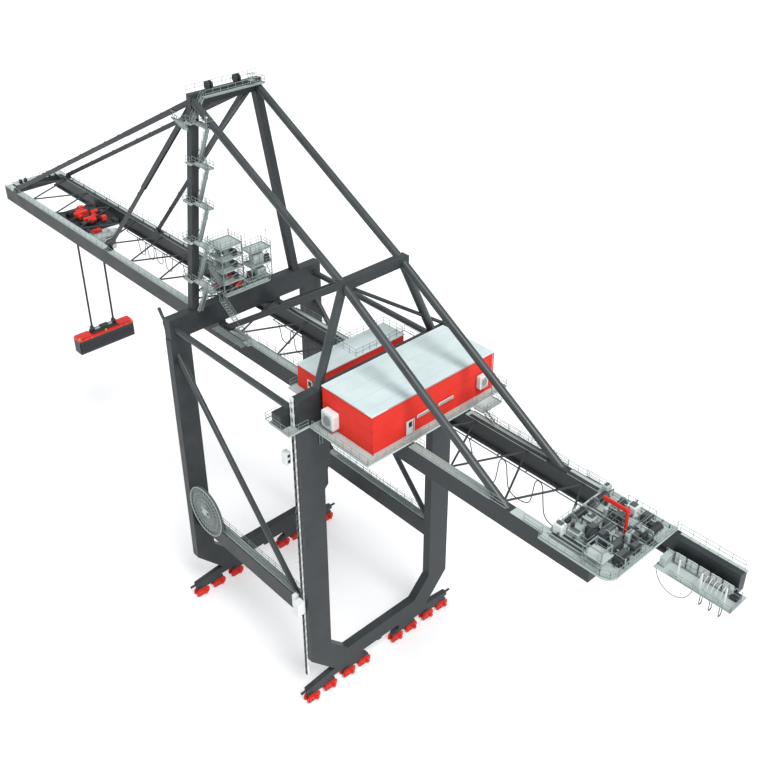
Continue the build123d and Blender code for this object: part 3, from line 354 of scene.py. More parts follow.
def take_mesh():
    """Takes the mesh out of the object that was just modelled, with its place in the mesh."""
    fresh()
    made = bpy.context.object
    made.data.transform(made.matrix_world)
    pattern = made.data.copy()
    bpy.data.objects.remove(made, do_unlink=True)
    return pattern


def select_facing(test):
    """In edit mode, selects the faces whose normal passes a test."""
    bpy.ops.mesh.select_mode(type="FACE")
    bpy.ops.mesh.select_all(action="DESELECT")
    shape = bmesh.from_edit_mesh(bpy.context.object.data)
    for face in shape.faces:
        if test(face.normal):
            face.select_set(True)
    bmesh.update_edit_mesh(bpy.context.object.data)


def tube_pattern(sides):
    """A tube along Z from 0 to 1 with radius 1, with a ring inset in each flat end."""
    fresh()
    bpy.ops.mesh.primitive_cylinder_add(vertices=sides, radius=1, depth=1, location=(0, 0, 0.5))
    bpy.ops.object.mode_set(mode="EDIT")
    select_facing(lambda normal: abs(normal.z) > 0.9)
    bpy.ops.mesh.inset(thickness=0.2, use_individual=True)
    return take_mesh()


def block_pattern(bevel):
    """A block from 0 to 1 along Z, 2 wide each way, with chamfered edges."""
    fresh()
    bpy.ops.mesh.primitive_cube_add(size=2, location=(0, 0, 0.5), scale=(1, 1, 0.5))
    bpy.ops.object.transform_apply(location=False, rotation=False, scale=True)
    bpy.ops.object.mode_set(mode="EDIT")
    bpy.ops.mesh.select_all(action="SELECT")
    bpy.ops.mesh.bevel(offset=bevel, segments=1, affect="EDGES")
    return take_mesh()


thin_tube = tube_pattern(6)
round_tube = tube_pattern(14)
flat_bar = block_pattern(0.12)
print("patterns with", len(thin_tube.polygons), len(round_tube.polygons), len(flat_bar.polygons),
      "faces")

# %% [markdown]
# ## Copies of a pattern
# One handrail post is like the next, so none is modelled twice. A matrix whose columns are the
# member's width, depth and run stretches the pattern between two points. An array modifier could
# repeat evenly spaced members, but most of these aren't evenly spaced. `gather` joins all copies
# of a piece into one mesh of its own, which then rides on its body.

# %% Lay copies of a pattern


def along(start, end, half_width, half_depth=None):
    """Matrix that stretches a pattern from start to end. Its X side stays level."""
    start, end = Vector(start), Vector(end)
    run = end - start
    level = Vector((0, 0, 1)).cross(run)
    if level.length < 1e-6:
        level = Vector((0, 1, 0))
    level.normalize()
    upward = run.cross(level).normalized()
    half_depth = half_depth or half_width
    turn = Matrix((level * half_width, upward * half_depth, run)).transposed().to_4x4()
    return Matrix.Translation(start) @ turn


def gather(name, body, copies):
    """Makes one piece from copies of patterns, given as (pattern, matrix, finish)."""
    shape = bmesh.new()
    names = []
    for pattern, place, finish in copies:
        if finish not in names:
            names.append(finish)
        before = len(shape.verts)
        faces_before = len(shape.faces)
        shape.from_mesh(pattern)
        shape.verts.ensure_lookup_table()
        shape.faces.ensure_lookup_table()
        for vert in shape.verts[before:]:
            vert.co = place @ vert.co
        mirrored = place.to_3x3().determinant() < 0
        for face in shape.faces[faces_before:]:
            face.material_index = names.index(finish)
            if mirrored:
                face.normal_flip()
    mesh = bpy.data.meshes.new(name)
    shape.to_mesh(mesh)
    shape.free()
    for finish in names:
        mesh.materials.append(finishes[finish])
    piece = bpy.data.objects.new(name, mesh)
    bpy.context.scene.collection.objects.link(piece)
    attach(piece, body)
    return piece


def rod(start, end, radius=0.0028, finish="rail_paint", pattern=None):
    """A round member between two points."""
    return [(pattern or thin_tube, along(start, end, radius), finish)]


def bar(start, end, half_width, half_depth, finish="rail_paint"):
    """A flat member between two points, half_width each way level and half_depth upright."""
    return [(flat_bar, along(start, end, half_width, half_depth), finish)]


def box(one, other, finish="rail_paint"):
    """A chamfered block between two opposite corners."""
    low, high = ([pick(pair) for pair in zip(one, other)] for pick in (min, max))
    middle = ((low[0] + high[0]) / 2, (low[1] + high[1]) / 2)
    size = Matrix.Diagonal(((high[0] - low[0]) / 2, (high[1] - low[1]) / 2, high[2] - low[2], 1))
    return [(flat_bar, Matrix.Translation((*middle, low[2])) @ size, finish)]


# %% [markdown]
# ## Handrails
# A crane's handrail has posts about 1.5 m apart, a top rail 1.1 m up, a knee rail and a toe
# board. The same function fences every walkway: it takes the corner points of the walk's edge.
# Bevelling a curve would give the rails too, but not the posts at an even pitch.

# %% The handrail function
rail_height = 0.108
knee_height = 0.055
post_pitch = 0.15


def handrail(points, height=rail_height, pitch=post_pitch, closed=False, toe=True):
    """Posts, a top rail, a knee rail and a toe board along the corner points of a walk."""
    points = [Vector(point) for point in points]
    if closed:
        points.append(points[0])
    copies = []
    for start, end in zip(points, points[1:]):
        run = end - start
        spaces = max(1, round(run.length / pitch))
        for step in range(spaces + 1):
            foot = start + run * step / spaces
            copies += rod(foot, foot + Vector((0, 0, height)), 0.0032)
        for level in (height, height * knee_height / rail_height):
            lift = Vector((0, 0, level))
            copies += rod(start + lift, end + lift, 0.0034)
        if toe:
            lift = Vector((0, 0, 0.008))
            copies += bar(start + lift, end + lift, 0.0015, 0.008)
    return copies


# %% [markdown]
# ## Ladders and stairs
# A ladder is two stiles with rungs, and a stair is two stringers with treads and rails. Both are
# laid between their foot and their head, so moving a landing moves its flight as well.

# %% The ladder and stair functions
rung_pitch = 0.03
tread_rise = 0.024


def ladder(foot, head, width, across):
    """Two stiles and rungs between two points, spread along the across direction."""
    foot, head, across = Vector(foot), Vector(head), Vector(across).normalized() * width / 2
    copies = rod(foot + across, head + across, 0.004)
    copies += rod(foot - across, head - across, 0.004)
    run = head - foot
    count = int(run.length / rung_pitch)
    for step in range(1, count):
        at = foot + run * step / count
        copies += rod(at - across, at + across, 0.0022)
    return copies


def stair(foot, head, width):
    """A flight with stringers, treads and a handrail on both sides."""
    foot, head = Vector(foot), Vector(head)
    run = head - foot
    across = Vector((0, 0, 1)).cross(run).normalized() * width / 2
    lift = Vector((0, 0, 0.1))
    copies = []
    for side in (-1, 1):
        low, high = foot + across * side, head + across * side
        copies += bar(low, high, 0.0025, 0.010)
        copies += rod(low + lift, high + lift, 0.003)
        copies += rod(low + lift / 2, high + lift / 2, 0.0022)
        for step in range(5):
            at = low + run * step / 4
            copies += rod(at, at + lift, 0.0026)
    count = max(2, int(abs(run.z) / tread_rise))
    for step in range(1, count):
        at = foot + run * step / count
        copies += bar(at - across, at + across, 0.010, 0.0015)
    return copies


print("a stair one unit up has", len(stair((0, 0, 0), (1, 0, 1), 0.06)), "members")

# %% [markdown]
# ## Rails along the girders
# The gratings on the girders are walkways, so they carry a handrail on the outer edge. The rails
# of the boom ride on the boom, and go up with it when it luffs. They leave gaps where the
# forestays stand in their lugs. Heights come from the gratings' own boxes, so the posts stand
# on them.

# %% Fence the girders and the boom
girder_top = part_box("near_girder")[1][2]
grating_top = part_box("girder_gratings")[1][2]
girder_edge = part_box("near_girder")[1][1] - 0.004


def edge_rail(side, start_x, end_x):
    """A handrail along the outer edge of the grating on one girder."""
    edge_y = side * girder_edge
    return handrail([(start_x, edge_y, grating_top), (end_x, edge_y, grating_top)], pitch=0.2)


boom_rails = []
for side in (-1, 1):
    for start_x, end_x in ((1.13, 7.40), (7.60, 7.84)):
        boom_rails += edge_rail(side, start_x, end_x)
boom_rails += handrail([(7.845, -0.46, 5.214), (7.845, 0.46, 5.214)])
gather("boom_handrails", "boom", boom_rails)

girder_rails = []
for side in (-1, 1):
    for start_x, end_x in ((-1.70, -0.02), (-5.42, -3.84), (-5.98, -5.70)):
        girder_rails += edge_rail(side, start_x, end_x)
girder_rails += handrail([(-7.84, -girder_edge, girder_top), (-7.02, -girder_edge, girder_top)],
                         toe=False)
gather("girder_handrails", "root", girder_rails)
print("girders fenced with", len(boom_rails) + len(girder_rails), "bars")

# %% [markdown]
# ## The end of the boom
# A cross beam ties the two boom girders at their tip, under a pale platform. Two chamfered
# blocks are enough for it: the chamfer is what catches the light along its edges.

# %% Tie the boom tip
tip_pieces = box((7.735, -0.462, 5.02), (7.82, 0.462, 5.185), "beam_paint")
tip_pieces += box((7.725, -0.42, 5.188), (7.856, 0.42, 5.206), "grating_paint")
gather("boom_tip_beam", "boom", tip_pieces)
print("tip beam has", len(tip_pieces), "blocks")

# %% [markdown]
# ## Rope sheaves
# On the platform stand the sheaves that turn the trolley's ropes back. A sheave is a disc with a
# rim, a thinner web and a hub. It could be spun from its section, but insets of a cylinder's
# faces, scaled along the axle, give the same steps in fewer moves.

# %% Model a sheave and set the sheaves of the tip


def sheave_pattern(radius, width):
    """A rope sheave about the Y axis: a rim, a thinner web and a hub, made with insets."""
    fresh()
    bpy.ops.mesh.primitive_cylinder_add(vertices=28, radius=radius, depth=width, location=(0, 0, 0),
                                        rotation=(pi / 2, 0, 0))
    bpy.ops.object.transform_apply(location=False, rotation=True, scale=False)
    bpy.ops.object.mode_set(mode="EDIT")
    select_facing(lambda normal: abs(normal.y) > 0.9)
    bpy.ops.mesh.inset(thickness=radius * 0.16, use_individual=True)
    bpy.ops.transform.resize(value=(1, 0.55, 1))
    bpy.ops.mesh.inset(thickness=radius * 0.5, use_individual=True)
    bpy.ops.transform.resize(value=(1, 1.9, 1))
    bpy.ops.mesh.select_all(action="SELECT")
    bpy.ops.mesh.normals_make_consistent(inside=False)
    return take_mesh()


small_sheave = sheave_pattern(0.034, 0.016)


def sheave_block(middle):
    """Two sheaves between cheeks on a foot."""
    x, y, z = middle
    copies = box((x - 0.05, y - 0.032, z), (x + 0.05, y + 0.032, z + 0.008), "slate_paint")
    for offset in (-0.012, 0.012):
        copies += [(small_sheave, Matrix.Translation((x, y + offset, z + 0.05)), "rope_steel")]
    for offset in (-0.026, 0.026):
        copies += box((x - 0.028, y + offset - 0.002, z + 0.006),
                      (x + 0.028, y + offset + 0.002, z + 0.068), "slate_paint")
    return copies


tip_sheaves = []
for sheave_y in (-0.30, -0.20, 0.20, 0.30):
    tip_sheaves += sheave_block((7.75, sheave_y, 5.206))
gather("boom_tip_sheaves", "boom", tip_sheaves)
print("boom tip has", len(tip_sheaves), "parts")

# %% [markdown]
# ## Stairs and landings of the mast
# The way up the mast is a zigzag beside the near leg: a landing at each level, and a flight
# from its outer end to the landing below. The landings come from CAD and get their rails here.
# The leg leans inward as it rises, so each landing's place is worked out as a share of its height.

# %% Dress the mast stairs
cross_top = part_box("waterside_cross_beam")[1][2]
head_bottom = 8.59
landing_levels = (6.06, 6.655, 7.24, 7.815, 8.38)
leg_foot_y, leg_head_y = 0.958, 0.545
leg_foot_x, leg_lean_x = 0.488, 0.118
raised_stays_y = 0.61
mast_rails = []
previous = (0.378, leg_foot_y, cross_top)
for level in landing_levels:
    share = (level - cross_top) / (head_bottom - cross_top)
    leg_y = leg_foot_y + (leg_head_y - leg_foot_y) * share
    inner_x = leg_foot_x + leg_lean_x * share - 0.06
    deck = level + 0.008
    near_y, far_y = leg_y + 0.053, leg_y - 0.053
    outer_x = inner_x - 0.386
    landing = [(inner_x, near_y, deck), (outer_x, near_y, deck)]
    landing += [(outer_x, far_y, deck), (inner_x, far_y, deck)]
    mast_rails += handrail(landing, pitch=0.1)
    # A grating runs round the leg, but only where the raised stays leave room for its far end.
    goes_round = leg_y - 0.105 > raised_stays_y
    band_low, band_high = inner_x - 0.03, inner_x + (0.15 if goes_round else 0.12)
    band_bottom, band_y = level - 0.012, leg_y + 0.105
    mast_rails += box((band_low, leg_y + 0.062, band_bottom), (band_high, band_y, deck),
                      "grating_paint")
    rail_y = leg_y + 0.102
    if goes_round:
        side_low = (band_high - 0.022, leg_y - 0.105, band_bottom)
        mast_rails += box(side_low, (band_high + 0.02, band_y, deck), "grating_paint")
        turn_x = band_high + 0.017
        band = [(band_low, rail_y, deck), (turn_x, rail_y, deck), (turn_x, leg_y - 0.102, deck)]
    else:
        band = [(band_low, rail_y, deck), (band_high - 0.04, rail_y, deck)]
    mast_rails += handrail(band, pitch=0.08)
    middle_y = (previous[1] + leg_y) / 2
    flight_foot = (previous[0] - 0.04, middle_y, previous[2])
    mast_rails += stair(flight_foot, (outer_x + 0.03, middle_y, deck), 0.056)
    rung_x, rung_y = outer_x + 0.02, near_y + 0.006
    mast_rails += ladder((rung_x, rung_y, level - 0.14), (rung_x, rung_y, level + 0.20), 0.036,
                         (1, 0, 0))
    for lamp_x, lamp_y in ((outer_x, near_y), (inner_x - 0.1, far_y)):
        mast_rails += rod((lamp_x, lamp_y, deck), (lamp_x, lamp_y, deck + 0.17), 0.003)
        lamp = Vector((lamp_x, lamp_y, deck + 0.165))
        mast_rails += box(lamp - Vector((0.012, 0.01, 0)), lamp + Vector((0.012, 0.01, 0.015)),
                          "white_paint")
    previous = (inner_x - 0.02, leg_y, level)
gather("mast_stair_rails", "root", mast_rails)
print("mast stairs have", len(mast_rails), "bars")

# %% [markdown]
# ## Walks at the mast head
# A walk runs behind the head beam past its rope sheaves, with a steep stair up from the last
# landing. A small three cornered platform beside the stays lets a fitter reach their pins. It is
# laid of planks that get shorter, because a box can't be three cornered.

# %% Fence the mast head
head_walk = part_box("access_platforms")[1][2]
head_rails = handrail([(0.462, 0.415, head_walk), (0.462, -0.60, head_walk), (0.54, -0.60, head_walk)],
                      pitch=0.12)
head_rails += handrail([(0.655, 0.60, 8.77), (0.655, -0.60, 8.77)], pitch=0.15, toe=False)
head_rails += stair((0.50, 0.66, 8.388), (0.50, 0.44, head_walk), 0.06)
pin_deck = 8.30
pin_corners = [(0.60, 0.575, pin_deck), (1.16, 0.575, pin_deck), (0.60, 0.73, pin_deck)]
head_rails += bar((0.62, 0.62, pin_deck - 0.008), (1.10, 0.585, pin_deck - 0.008), 0.012, 0.006)
plank_count = 12
for step in range(plank_count):
    share = step / plank_count
    plank_low = (0.60 + 0.56 * share, 0.575, pin_deck - 0.004)
    plank_high = (plank_low[0] + 0.045, 0.575 + 0.155 * (1 - share), pin_deck)
    head_rails += box(plank_low, plank_high, "grating_paint")
head_rails += handrail([pin_corners[1], pin_corners[2], (0.50, 0.73, pin_deck)], pitch=0.1)
head_rails += handrail([pin_corners[1], pin_corners[0]], pitch=0.14)
for cage_x in (0.47, 0.53):
    for cage_y in (-0.36, -0.44):
        head_rails += rod((cage_x, cage_y, head_walk), (cage_x, cage_y, 8.88), 0.0035)
cage = [(0.47, -0.36, 8.77), (0.53, -0.36, 8.77), (0.53, -0.44, 8.77), (0.47, -0.44, 8.77)]
head_rails += handrail(cage, closed=True, pitch=0.04, toe=False)
head_rails += box((0.47, -0.44, 8.78), (0.53, -0.36, 8.786), "grating_paint")
gather("mast_head_rails", "root", head_rails)
print("mast head has", len(head_rails), "bars")

# %% [markdown]
# ## Towers at the boom hinge
# On each side of the boom hinge stands a light tower with gratings at several levels, from
# which the hinge, the latch and its drives are served. It stays clear of the boom, which
# swings up right beside it. A tower is posts, crossed braces and fenced decks, so a function
# that takes two corners and the heights of the decks builds all of them.

# %% Build the towers


def corners_at(low, high, z):
    """The four corners of a rectangle at one height, in the order of its edge."""
    return [(low[0], low[1], z), (high[0], low[1], z), (high[0], high[1], z), (low[0], high[1], z)]


def tower(low, high, decks):
    """An open frame of posts and braces, with a fenced grating at each deck."""
    copies = []
    for foot in corners_at(low, high, low[2]):
        copies += bar(foot, (*foot[:2], high[2]), 0.006, 0.006)
    levels = [low[2], *decks]
    for lower, upper in zip(levels, levels[1:]):
        for y in (low[1], high[1]):
            copies += rod((low[0], y, lower), (high[0], y, upper), 0.004)
        for x in (low[0], high[0]):
            copies += rod((x, high[1], lower), (x, low[1], upper), 0.004)
    for deck in decks:
        grating_low = (low[0] - 0.012, low[1] - 0.012, deck - 0.008)
        copies += box(grating_low, (high[0] + 0.012, high[1] + 0.012, deck), "grating_paint")
        copies += handrail(corners_at(low, high, deck), closed=True, pitch=0.09)
    return copies


hinge_tower = tower((0.60, 0.30, 5.20), (0.83, 0.56, 5.72), (5.36, 5.63))
hinge_tower += tower((0.46, 0.02, 5.58), (0.80, 0.40, 6.5), (5.78, 5.98, 6.18, 6.38))
hinge_tower += tower((0.60, 0.10, 5.20), (0.83, 0.29, 5.60), (5.30, 5.44))
hinge_tower += tower((0.60, -0.61, 5.20), (0.84, -0.22, 6.16), (5.52, 5.80, 6.05))
print("four towers have", len(hinge_tower), "members")

# %% [markdown]
# ## What stands in the towers
# The towers are crowded: cabinets on each deck, two short flights between the decks, and lamps
# on posts. Each cabinet is one block, because it covers only a few pixels in the picture, and
# the crowding itself is what shows.

# %% Fill the hinge towers
tower_cabinets = (
    ((0.62, -0.52, 5.52), (0.80, -0.36, 5.72), "grating_paint"),
    ((0.64, -0.50, 5.80), (0.78, -0.30, 5.98), "grating_paint"),
    ((0.60, -0.58, 5.80), (0.64, -0.50, 5.94), "slate_paint"),
    ((0.70, -0.34, 5.52), (0.82, -0.26, 5.64), "slate_paint"),
)
for cabinet_low, cabinet_high, finish in tower_cabinets:
    hinge_tower += box(cabinet_low, cabinet_high, finish)
for left, right, flight_foot in ((0.78, 0.48, 5.58), (0.48, 0.78, 5.78)):
    hinge_tower += stair((left, 0.43, flight_foot), (right, 0.43, flight_foot + 0.2), 0.03)
for level in (5.78, 5.98, 6.18):
    hinge_tower += box((0.50, 0.08, level), (0.58, 0.16, level + 0.09), "slate_paint")
    hinge_tower += box((0.70, 0.28, level), (0.77, 0.36, level + 0.10), "grating_paint")
    pipe_z = level + 0.03
    hinge_tower += rod((0.66, 0.06, pipe_z), (0.66, 0.34, pipe_z), 0.016, "reel_paint", round_tube)
    hinge_tower += box((0.60, 0.17, level), (0.66, 0.25, level + 0.11), "grating_paint")
lamp_posts = ((0.44, 0.40), (0.82, 0.36), (0.62, 0.41), (0.52, -0.18), (0.62, -0.40), (0.72, -0.62),
              (0.84, -0.30))
for post_x, post_y in lamp_posts:
    hinge_tower += rod((post_x, post_y, 5.60), (post_x, post_y, 6.30), 0.0035)
    lamp_low = (post_x - 0.012, post_y - 0.01, 6.29)
    hinge_tower += box(lamp_low, (post_x + 0.012, post_y + 0.01, 6.31), "white_paint")
gather("hinge_towers", "root", hinge_tower)
print("hinge towers have", len(hinge_tower), "members")

# %% [markdown]
# ## Drives
# A drive of a crane is a finned motor on a foot. From some way off it reads as a ribbed drum, so
# slightly wider rings stand for the fins. Cutting the fins into one drum would take more faces
# and look the same. The hinge's drives sit low between the towers.

# %% The drive function and the drives at the hinge


def motor(middle, length, radius, axis, finish):
    """A drive: a finned drum between end bells, on a foot."""
    middle, axis = Vector(middle), Vector(axis).normalized()
    copies = rod(middle - axis * length / 2, middle + axis * length / 2, radius, finish, round_tube)
    for share in (-0.36, -0.18, 0, 0.18, 0.36):
        at = middle + axis * length * share
        copies += rod(at - axis * 0.003, at + axis * 0.003, radius * 1.14, finish, round_tube)
    for end in (-1, 1):
        at = middle + axis * length / 2 * end
        copies += rod(at, at + axis * end * radius * 0.35, radius * 0.55, "slate_paint", round_tube)
    low = (middle.x - radius * 0.8, middle.y - radius * 0.8, middle.z - radius * 1.3)
    high = (middle.x + radius * 0.8, middle.y + radius * 0.8, middle.z - radius * 0.8)
    return copies + box(low, high, "slate_paint")


drives = motor((0.70, 0.47, 5.43), 0.13, 0.042, (0, 1, 0), "machine_red")
drives += motor((0.55, 0.10, 5.66), 0.12, 0.042, (0, 1, 0), "machine_red")
drives += motor((0.70, 0.36, 5.64), 0.12, 0.040, (1, 0, 0), "machine_red")
drives += motor((0.62, 0.20, 5.83), 0.12, 0.036, (1, 0, 0), "machine_red")
drives += motor((0.53, 0.30, 5.66), 0.10, 0.034, (1, 0, 0), "slate_paint")
gather("hinge_drives", "root", drives)
print("hinge drives have", len(drives), "parts")

# %% [markdown]
# ## Walks between the girder and the hinge
# A walk on the cross beam joins the towers, and a shallow stair comes up to it from the near
# girder, beside a run of grease pipes. A second walk passes the landside end of the houses.
# The rail and stair functions build all of it, so only corner points are given.

# %% Lay the walks at the girders
cross_walk = cross_top + 0.012
beam_walk = box((0.415, -0.44, cross_top), (0.50, 0.40, cross_walk), "grating_paint")
beam_walk += handrail([(0.42, 0.40, cross_walk), (0.42, -0.44, cross_walk)], pitch=0.1)
beam_walk += handrail([(0.50, -0.44, cross_walk), (0.50, 0.0, cross_walk)], pitch=0.1)
beam_walk += stair((-0.30, 0.545, 5.205), (0.40, 0.505, cross_walk), 0.075)
beam_walk += box((-0.44, 0.47, 5.200), (-0.29, 0.66, 5.208), "grating_paint")
beam_walk += handrail([(-0.29, 0.655, 5.208), (-0.435, 0.655, 5.208), (-0.435, 0.60, 5.208)],
                      pitch=0.07)
beam_walk += handrail([(-0.45, 0.47, 5.20), (-1.70, 0.47, 5.20)], pitch=0.2)
for pipe in range(7):
    pipe_y = 0.612 + pipe * 0.018
    beam_walk += rod((0.40, pipe_y, 5.175), (-0.36, pipe_y, 5.175), 0.0042)
for clip_x in (0.30, 0.05, -0.20, -0.34):
    beam_walk += bar((clip_x, 0.592, 5.166), (clip_x, 0.728, 5.166), 0.008, 0.003)
beam_walk += box((-3.98, -0.98, 5.225), (-3.79, -0.60, 5.233), "grating_paint")
beam_walk += handrail([(-3.79, -0.98, 5.233), (-3.975, -0.98, 5.233), (-3.975, -0.68, 5.233)],
                      pitch=0.08)
beam_walk += stair((-4.24, -0.56, 5.195), (-3.98, -0.64, 5.233), 0.05)
beam_walk += handrail([(-4.30, -0.575, 5.19), (-5.90, -0.575, 5.19)], pitch=0.16)
gather("beam_walk", "root", beam_walk)
print("walks have", len(beam_walk), "members")

# %% [markdown]
# ## Galleries round the houses
# The machine house and the electrical house stand on one floor, and a fenced gallery runs
# round it. It follows the floor's own box, so it stays on the edge if the floor changes.

# %% Fence the floor of the houses
floor_low, floor_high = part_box("house_floors")
platform_top = floor_high[2]
rail_inset = 0.006
rear_x, front_x = floor_low[0] + rail_inset, floor_high[0] - rail_inset
far_y, near_y = floor_low[1] + rail_inset, floor_high[1] - rail_inset
gallery_edge = [(-2.70, near_y), (rear_x, near_y), (rear_x, far_y), (front_x, far_y), (front_x, 0.9)]
lift_landing = [(-2.14, 1.45), (-2.14, 1.62), (-2.645, 1.62), (-2.645, 1.30)]
gallery = []
for edge in (gallery_edge, lift_landing):
    gallery += handrail([(x, y, platform_top) for x, y in edge])
gather("gallery_rails", "root", gallery)
print("gallery has", len(gallery), "members")

# %% [markdown]
# ## Air conditioners
# Two air conditioners cool the drives inside the machine house. Each is a chamfered case on two
# brackets, with a fan ring and slats on its face. They stand on the face instead of in a real
# opening, which would be lost at this size.

# %% Hang the air conditioners
house_low, house_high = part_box("house_walls")


def cooler(seat, out, width, height, depth):
    """An air conditioner: its seat is a point on the wall, and out is the way the wall faces."""
    seat, out = Vector(seat), Vector(out)
    wide = Vector((abs(out.y), abs(out.x), 0))
    face = seat + out * depth
    corner = wide * width / 2 + Vector((0, 0, height / 2))
    copies = box(seat - corner, face + corner, "white_paint")
    copies += rod(face, face + out * 0.006, width * 0.30, "rail_paint", round_tube)
    for step in range(-4, 5):
        slat = face + out * 0.008 + Vector((0, 0, step * height * 0.09))
        slat_half = wide * width * 0.36
        copies += bar(slat - slat_half, slat + slat_half, 0.0015, 0.002, "rail_paint")
    for end in (-1, 1):
        foot = face - out * depth + wide * width * 0.35 * end - Vector((0, 0, height / 2 + 0.02))
        copies += bar(foot, foot + out * depth, 0.004, 0.004, "machine_red")
    return copies


coolers = cooler((-2.92, house_high[1], 5.44), (0, 1, 0), 0.24, 0.25, 0.11)
coolers += cooler((house_low[0], -0.86, 5.50), (-1, 0, 0), 0.16, 0.20, 0.07)
gather("house_coolers", "root", coolers)
print("coolers have", len(coolers), "parts")

# %% [markdown]
# ## Louvres, corner posts and door frame
# The rear wall has two white louvres. Posts cover the corners where the wall plates meet, and a
# thin frame shows where the door is. It leaves a gap round the leaf, so that the door can swing.

# %% Dress the house walls
house_trim = []
for strip_low, strip_high in ((0.01, 0.34), (-0.33, -0.05)):
    louvre_low = (house_low[0] - 0.008, strip_low, 5.455)
    house_trim += box(louvre_low, (house_low[0] - 0.001, strip_high, 5.505), "white_paint")
    slat_x = house_low[0] - 0.011
    for slat_z in (5.464, 5.479, 5.494):
        slat_start, slat_end = (slat_x, strip_low + 0.01, slat_z), (slat_x, strip_high - 0.01, slat_z)
        house_trim += bar(slat_start, slat_end, 0.003, 0.002, "rail_paint")
for corner_y in (house_low[1], house_high[1]):
    for corner_x in (house_low[0], house_high[0]):
        corner_foot = (corner_x, corner_y, house_low[2])
        corner_head = (corner_x, corner_y, house_high[2] - 0.002)
        house_trim += bar(corner_foot, corner_head, 0.006, 0.006, "house_paint")
door_low, door_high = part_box("house_door")
frame_x = house_low[0] - 0.003
jamb_low, jamb_high = door_low[1] - 0.013, door_high[1] + 0.015
sill_z, lintel_z = door_low[2] - 0.01, door_high[2] + 0.01
for jamb_y in (jamb_low, jamb_high):
    house_trim += bar((frame_x, jamb_y, sill_z), (frame_x, jamb_y, lintel_z), 0.004, 0.006,
                      "white_paint")
lintel = (frame_x, jamb_low, lintel_z), (frame_x, jamb_high, lintel_z)
house_trim += bar(*lintel, 0.004, 0.006, "white_paint")
gather("house_trim", "root", house_trim)
print("house walls have", len(house_trim), "bars")

# %% [markdown]
# ## Windows of the doors
# Each door has one small dark window. It is a piece of its own on the door's body, so that it
# swings with the leaf.

# %% Set the windows of the doors
window_low = (door_low[0] - 0.003, door_low[1] + 0.022, door_low[2] + 0.11)
window_high = (door_low[0] + 0.002, door_high[1] - 0.028, door_high[2] - 0.018)
house_window = box(window_low, window_high, "black_rubber")
gather("house_door_window", "house_door_leaf", house_window)
leaf_low, leaf_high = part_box("ehouse_door")
ehouse_window_low = (leaf_low[0] + 0.022, leaf_high[1] - 0.002, leaf_low[2] + 0.11)
ehouse_window_high = (leaf_high[0] - 0.022, leaf_high[1] + 0.003, leaf_high[2] - 0.018)
ehouse_window = box(ehouse_window_low, ehouse_window_high, "black_rubber")
gather("ehouse_door_window", "ehouse_door_leaf", ehouse_window)
print("two doors have windows")

# %% [markdown]
# ## Roofs
# A raised rim stiffens the roof of the machine house, and the roof of the electrical house has a
# handrail, because fitters work on it. Both follow the box of their roof.

# %% Edge the roofs
roof_low, roof_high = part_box("house_roof")
roof_rims = []
rim_half = 0.005
rim_z = roof_high[2] - 0.004
for rim_y in (roof_low[1] + rim_half, roof_high[1] - rim_half):
    rim = (roof_low[0] + 0.004, rim_y, rim_z), (roof_high[0] - 0.004, rim_y, rim_z)
    roof_rims += bar(*rim, rim_half, rim_half, "white_paint")
for rim_x in (roof_low[0] + rim_half, roof_high[0] - rim_half):
    rim = (rim_x, roof_low[1] + 0.004, rim_z), (rim_x, roof_high[1] - 0.004, rim_z)
    roof_rims += bar(*rim, rim_half, rim_half, "white_paint")
gather("roof_rims", "root", roof_rims)
er_low, er_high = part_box("ehouse_roof")
roof_edge = corners_at((er_low[0] + 0.02, er_low[1] + 0.02), (er_high[0] - 0.02, 0.1), er_high[2])
roof_rail = handrail(roof_edge, closed=True, toe=False, pitch=0.12)
gather("ehouse_roof_rails", "root", roof_rail)
print("roofs have", len(roof_rims) + len(roof_rail), "members")

# %% [markdown]
# ## Pipes and trays along the boom
# The inner half of the far girder's top is taken by cable trays and grease pipes, which is why
# it looks dark beside the pale grating. They are long bars, clipped down every half metre. The
# boom's trays and the girder's are two pieces, since they part at the hinge.

# %% Lay the trays
trays = ((-0.474, 0.010, 0.008), (-0.502, 0.012, 0.006), (-0.524, 0.004, 0.005))


def lay_tray(tray, start_x, end_x):
    """A tray along the far girder, given as its place across, its half width and its half height."""
    tray_y, half_width, rise = tray
    tray_z = grating_top + rise
    return bar((start_x, tray_y, tray_z), (end_x, tray_y, tray_z), half_width, rise, "slate_paint")


tray_pieces = []
for tray in trays:
    tray_pieces += lay_tray(tray, 1.12, 7.66)
clip_z = grating_top + 0.016
for step in range(14):
    clip_x = 1.3 + step * 0.45
    tray_pieces += bar((clip_x, -0.532, clip_z), (clip_x, -0.464, clip_z), 0.008, 0.003, "beam_paint")
    post_foot, post_head = (clip_x, -0.53, grating_top), (clip_x, -0.53, grating_top + 0.05)
    tray_pieces += bar(post_foot, post_head, 0.006, 0.006, "slate_paint")
gather("boom_trays", "boom", tray_pieces)
root_trays = []
for tray in trays[:2]:
    root_trays += lay_tray(tray, -1.68, 0.10) + lay_tray(tray, -5.95, -3.86)
for step in range(7):
    plate_x = -7.05 - step * 0.12
    plate_low = (plate_x - 0.115, -0.590, girder_top + 0.001)
    root_trays += box(plate_low, (plate_x, -0.545, girder_top + 0.008), "grating_paint")
gather("girder_trays", "root", root_trays)
print("trays laid with", len(tray_pieces) + len(root_trays), "bars")

# %% [markdown]
# ## Trolley
# The trolley is an open frame with its drives in red on it. Dark end carriages hold the wheels,
# and narrow gratings lead across. All of it rides on the trolley's body and slides with it.

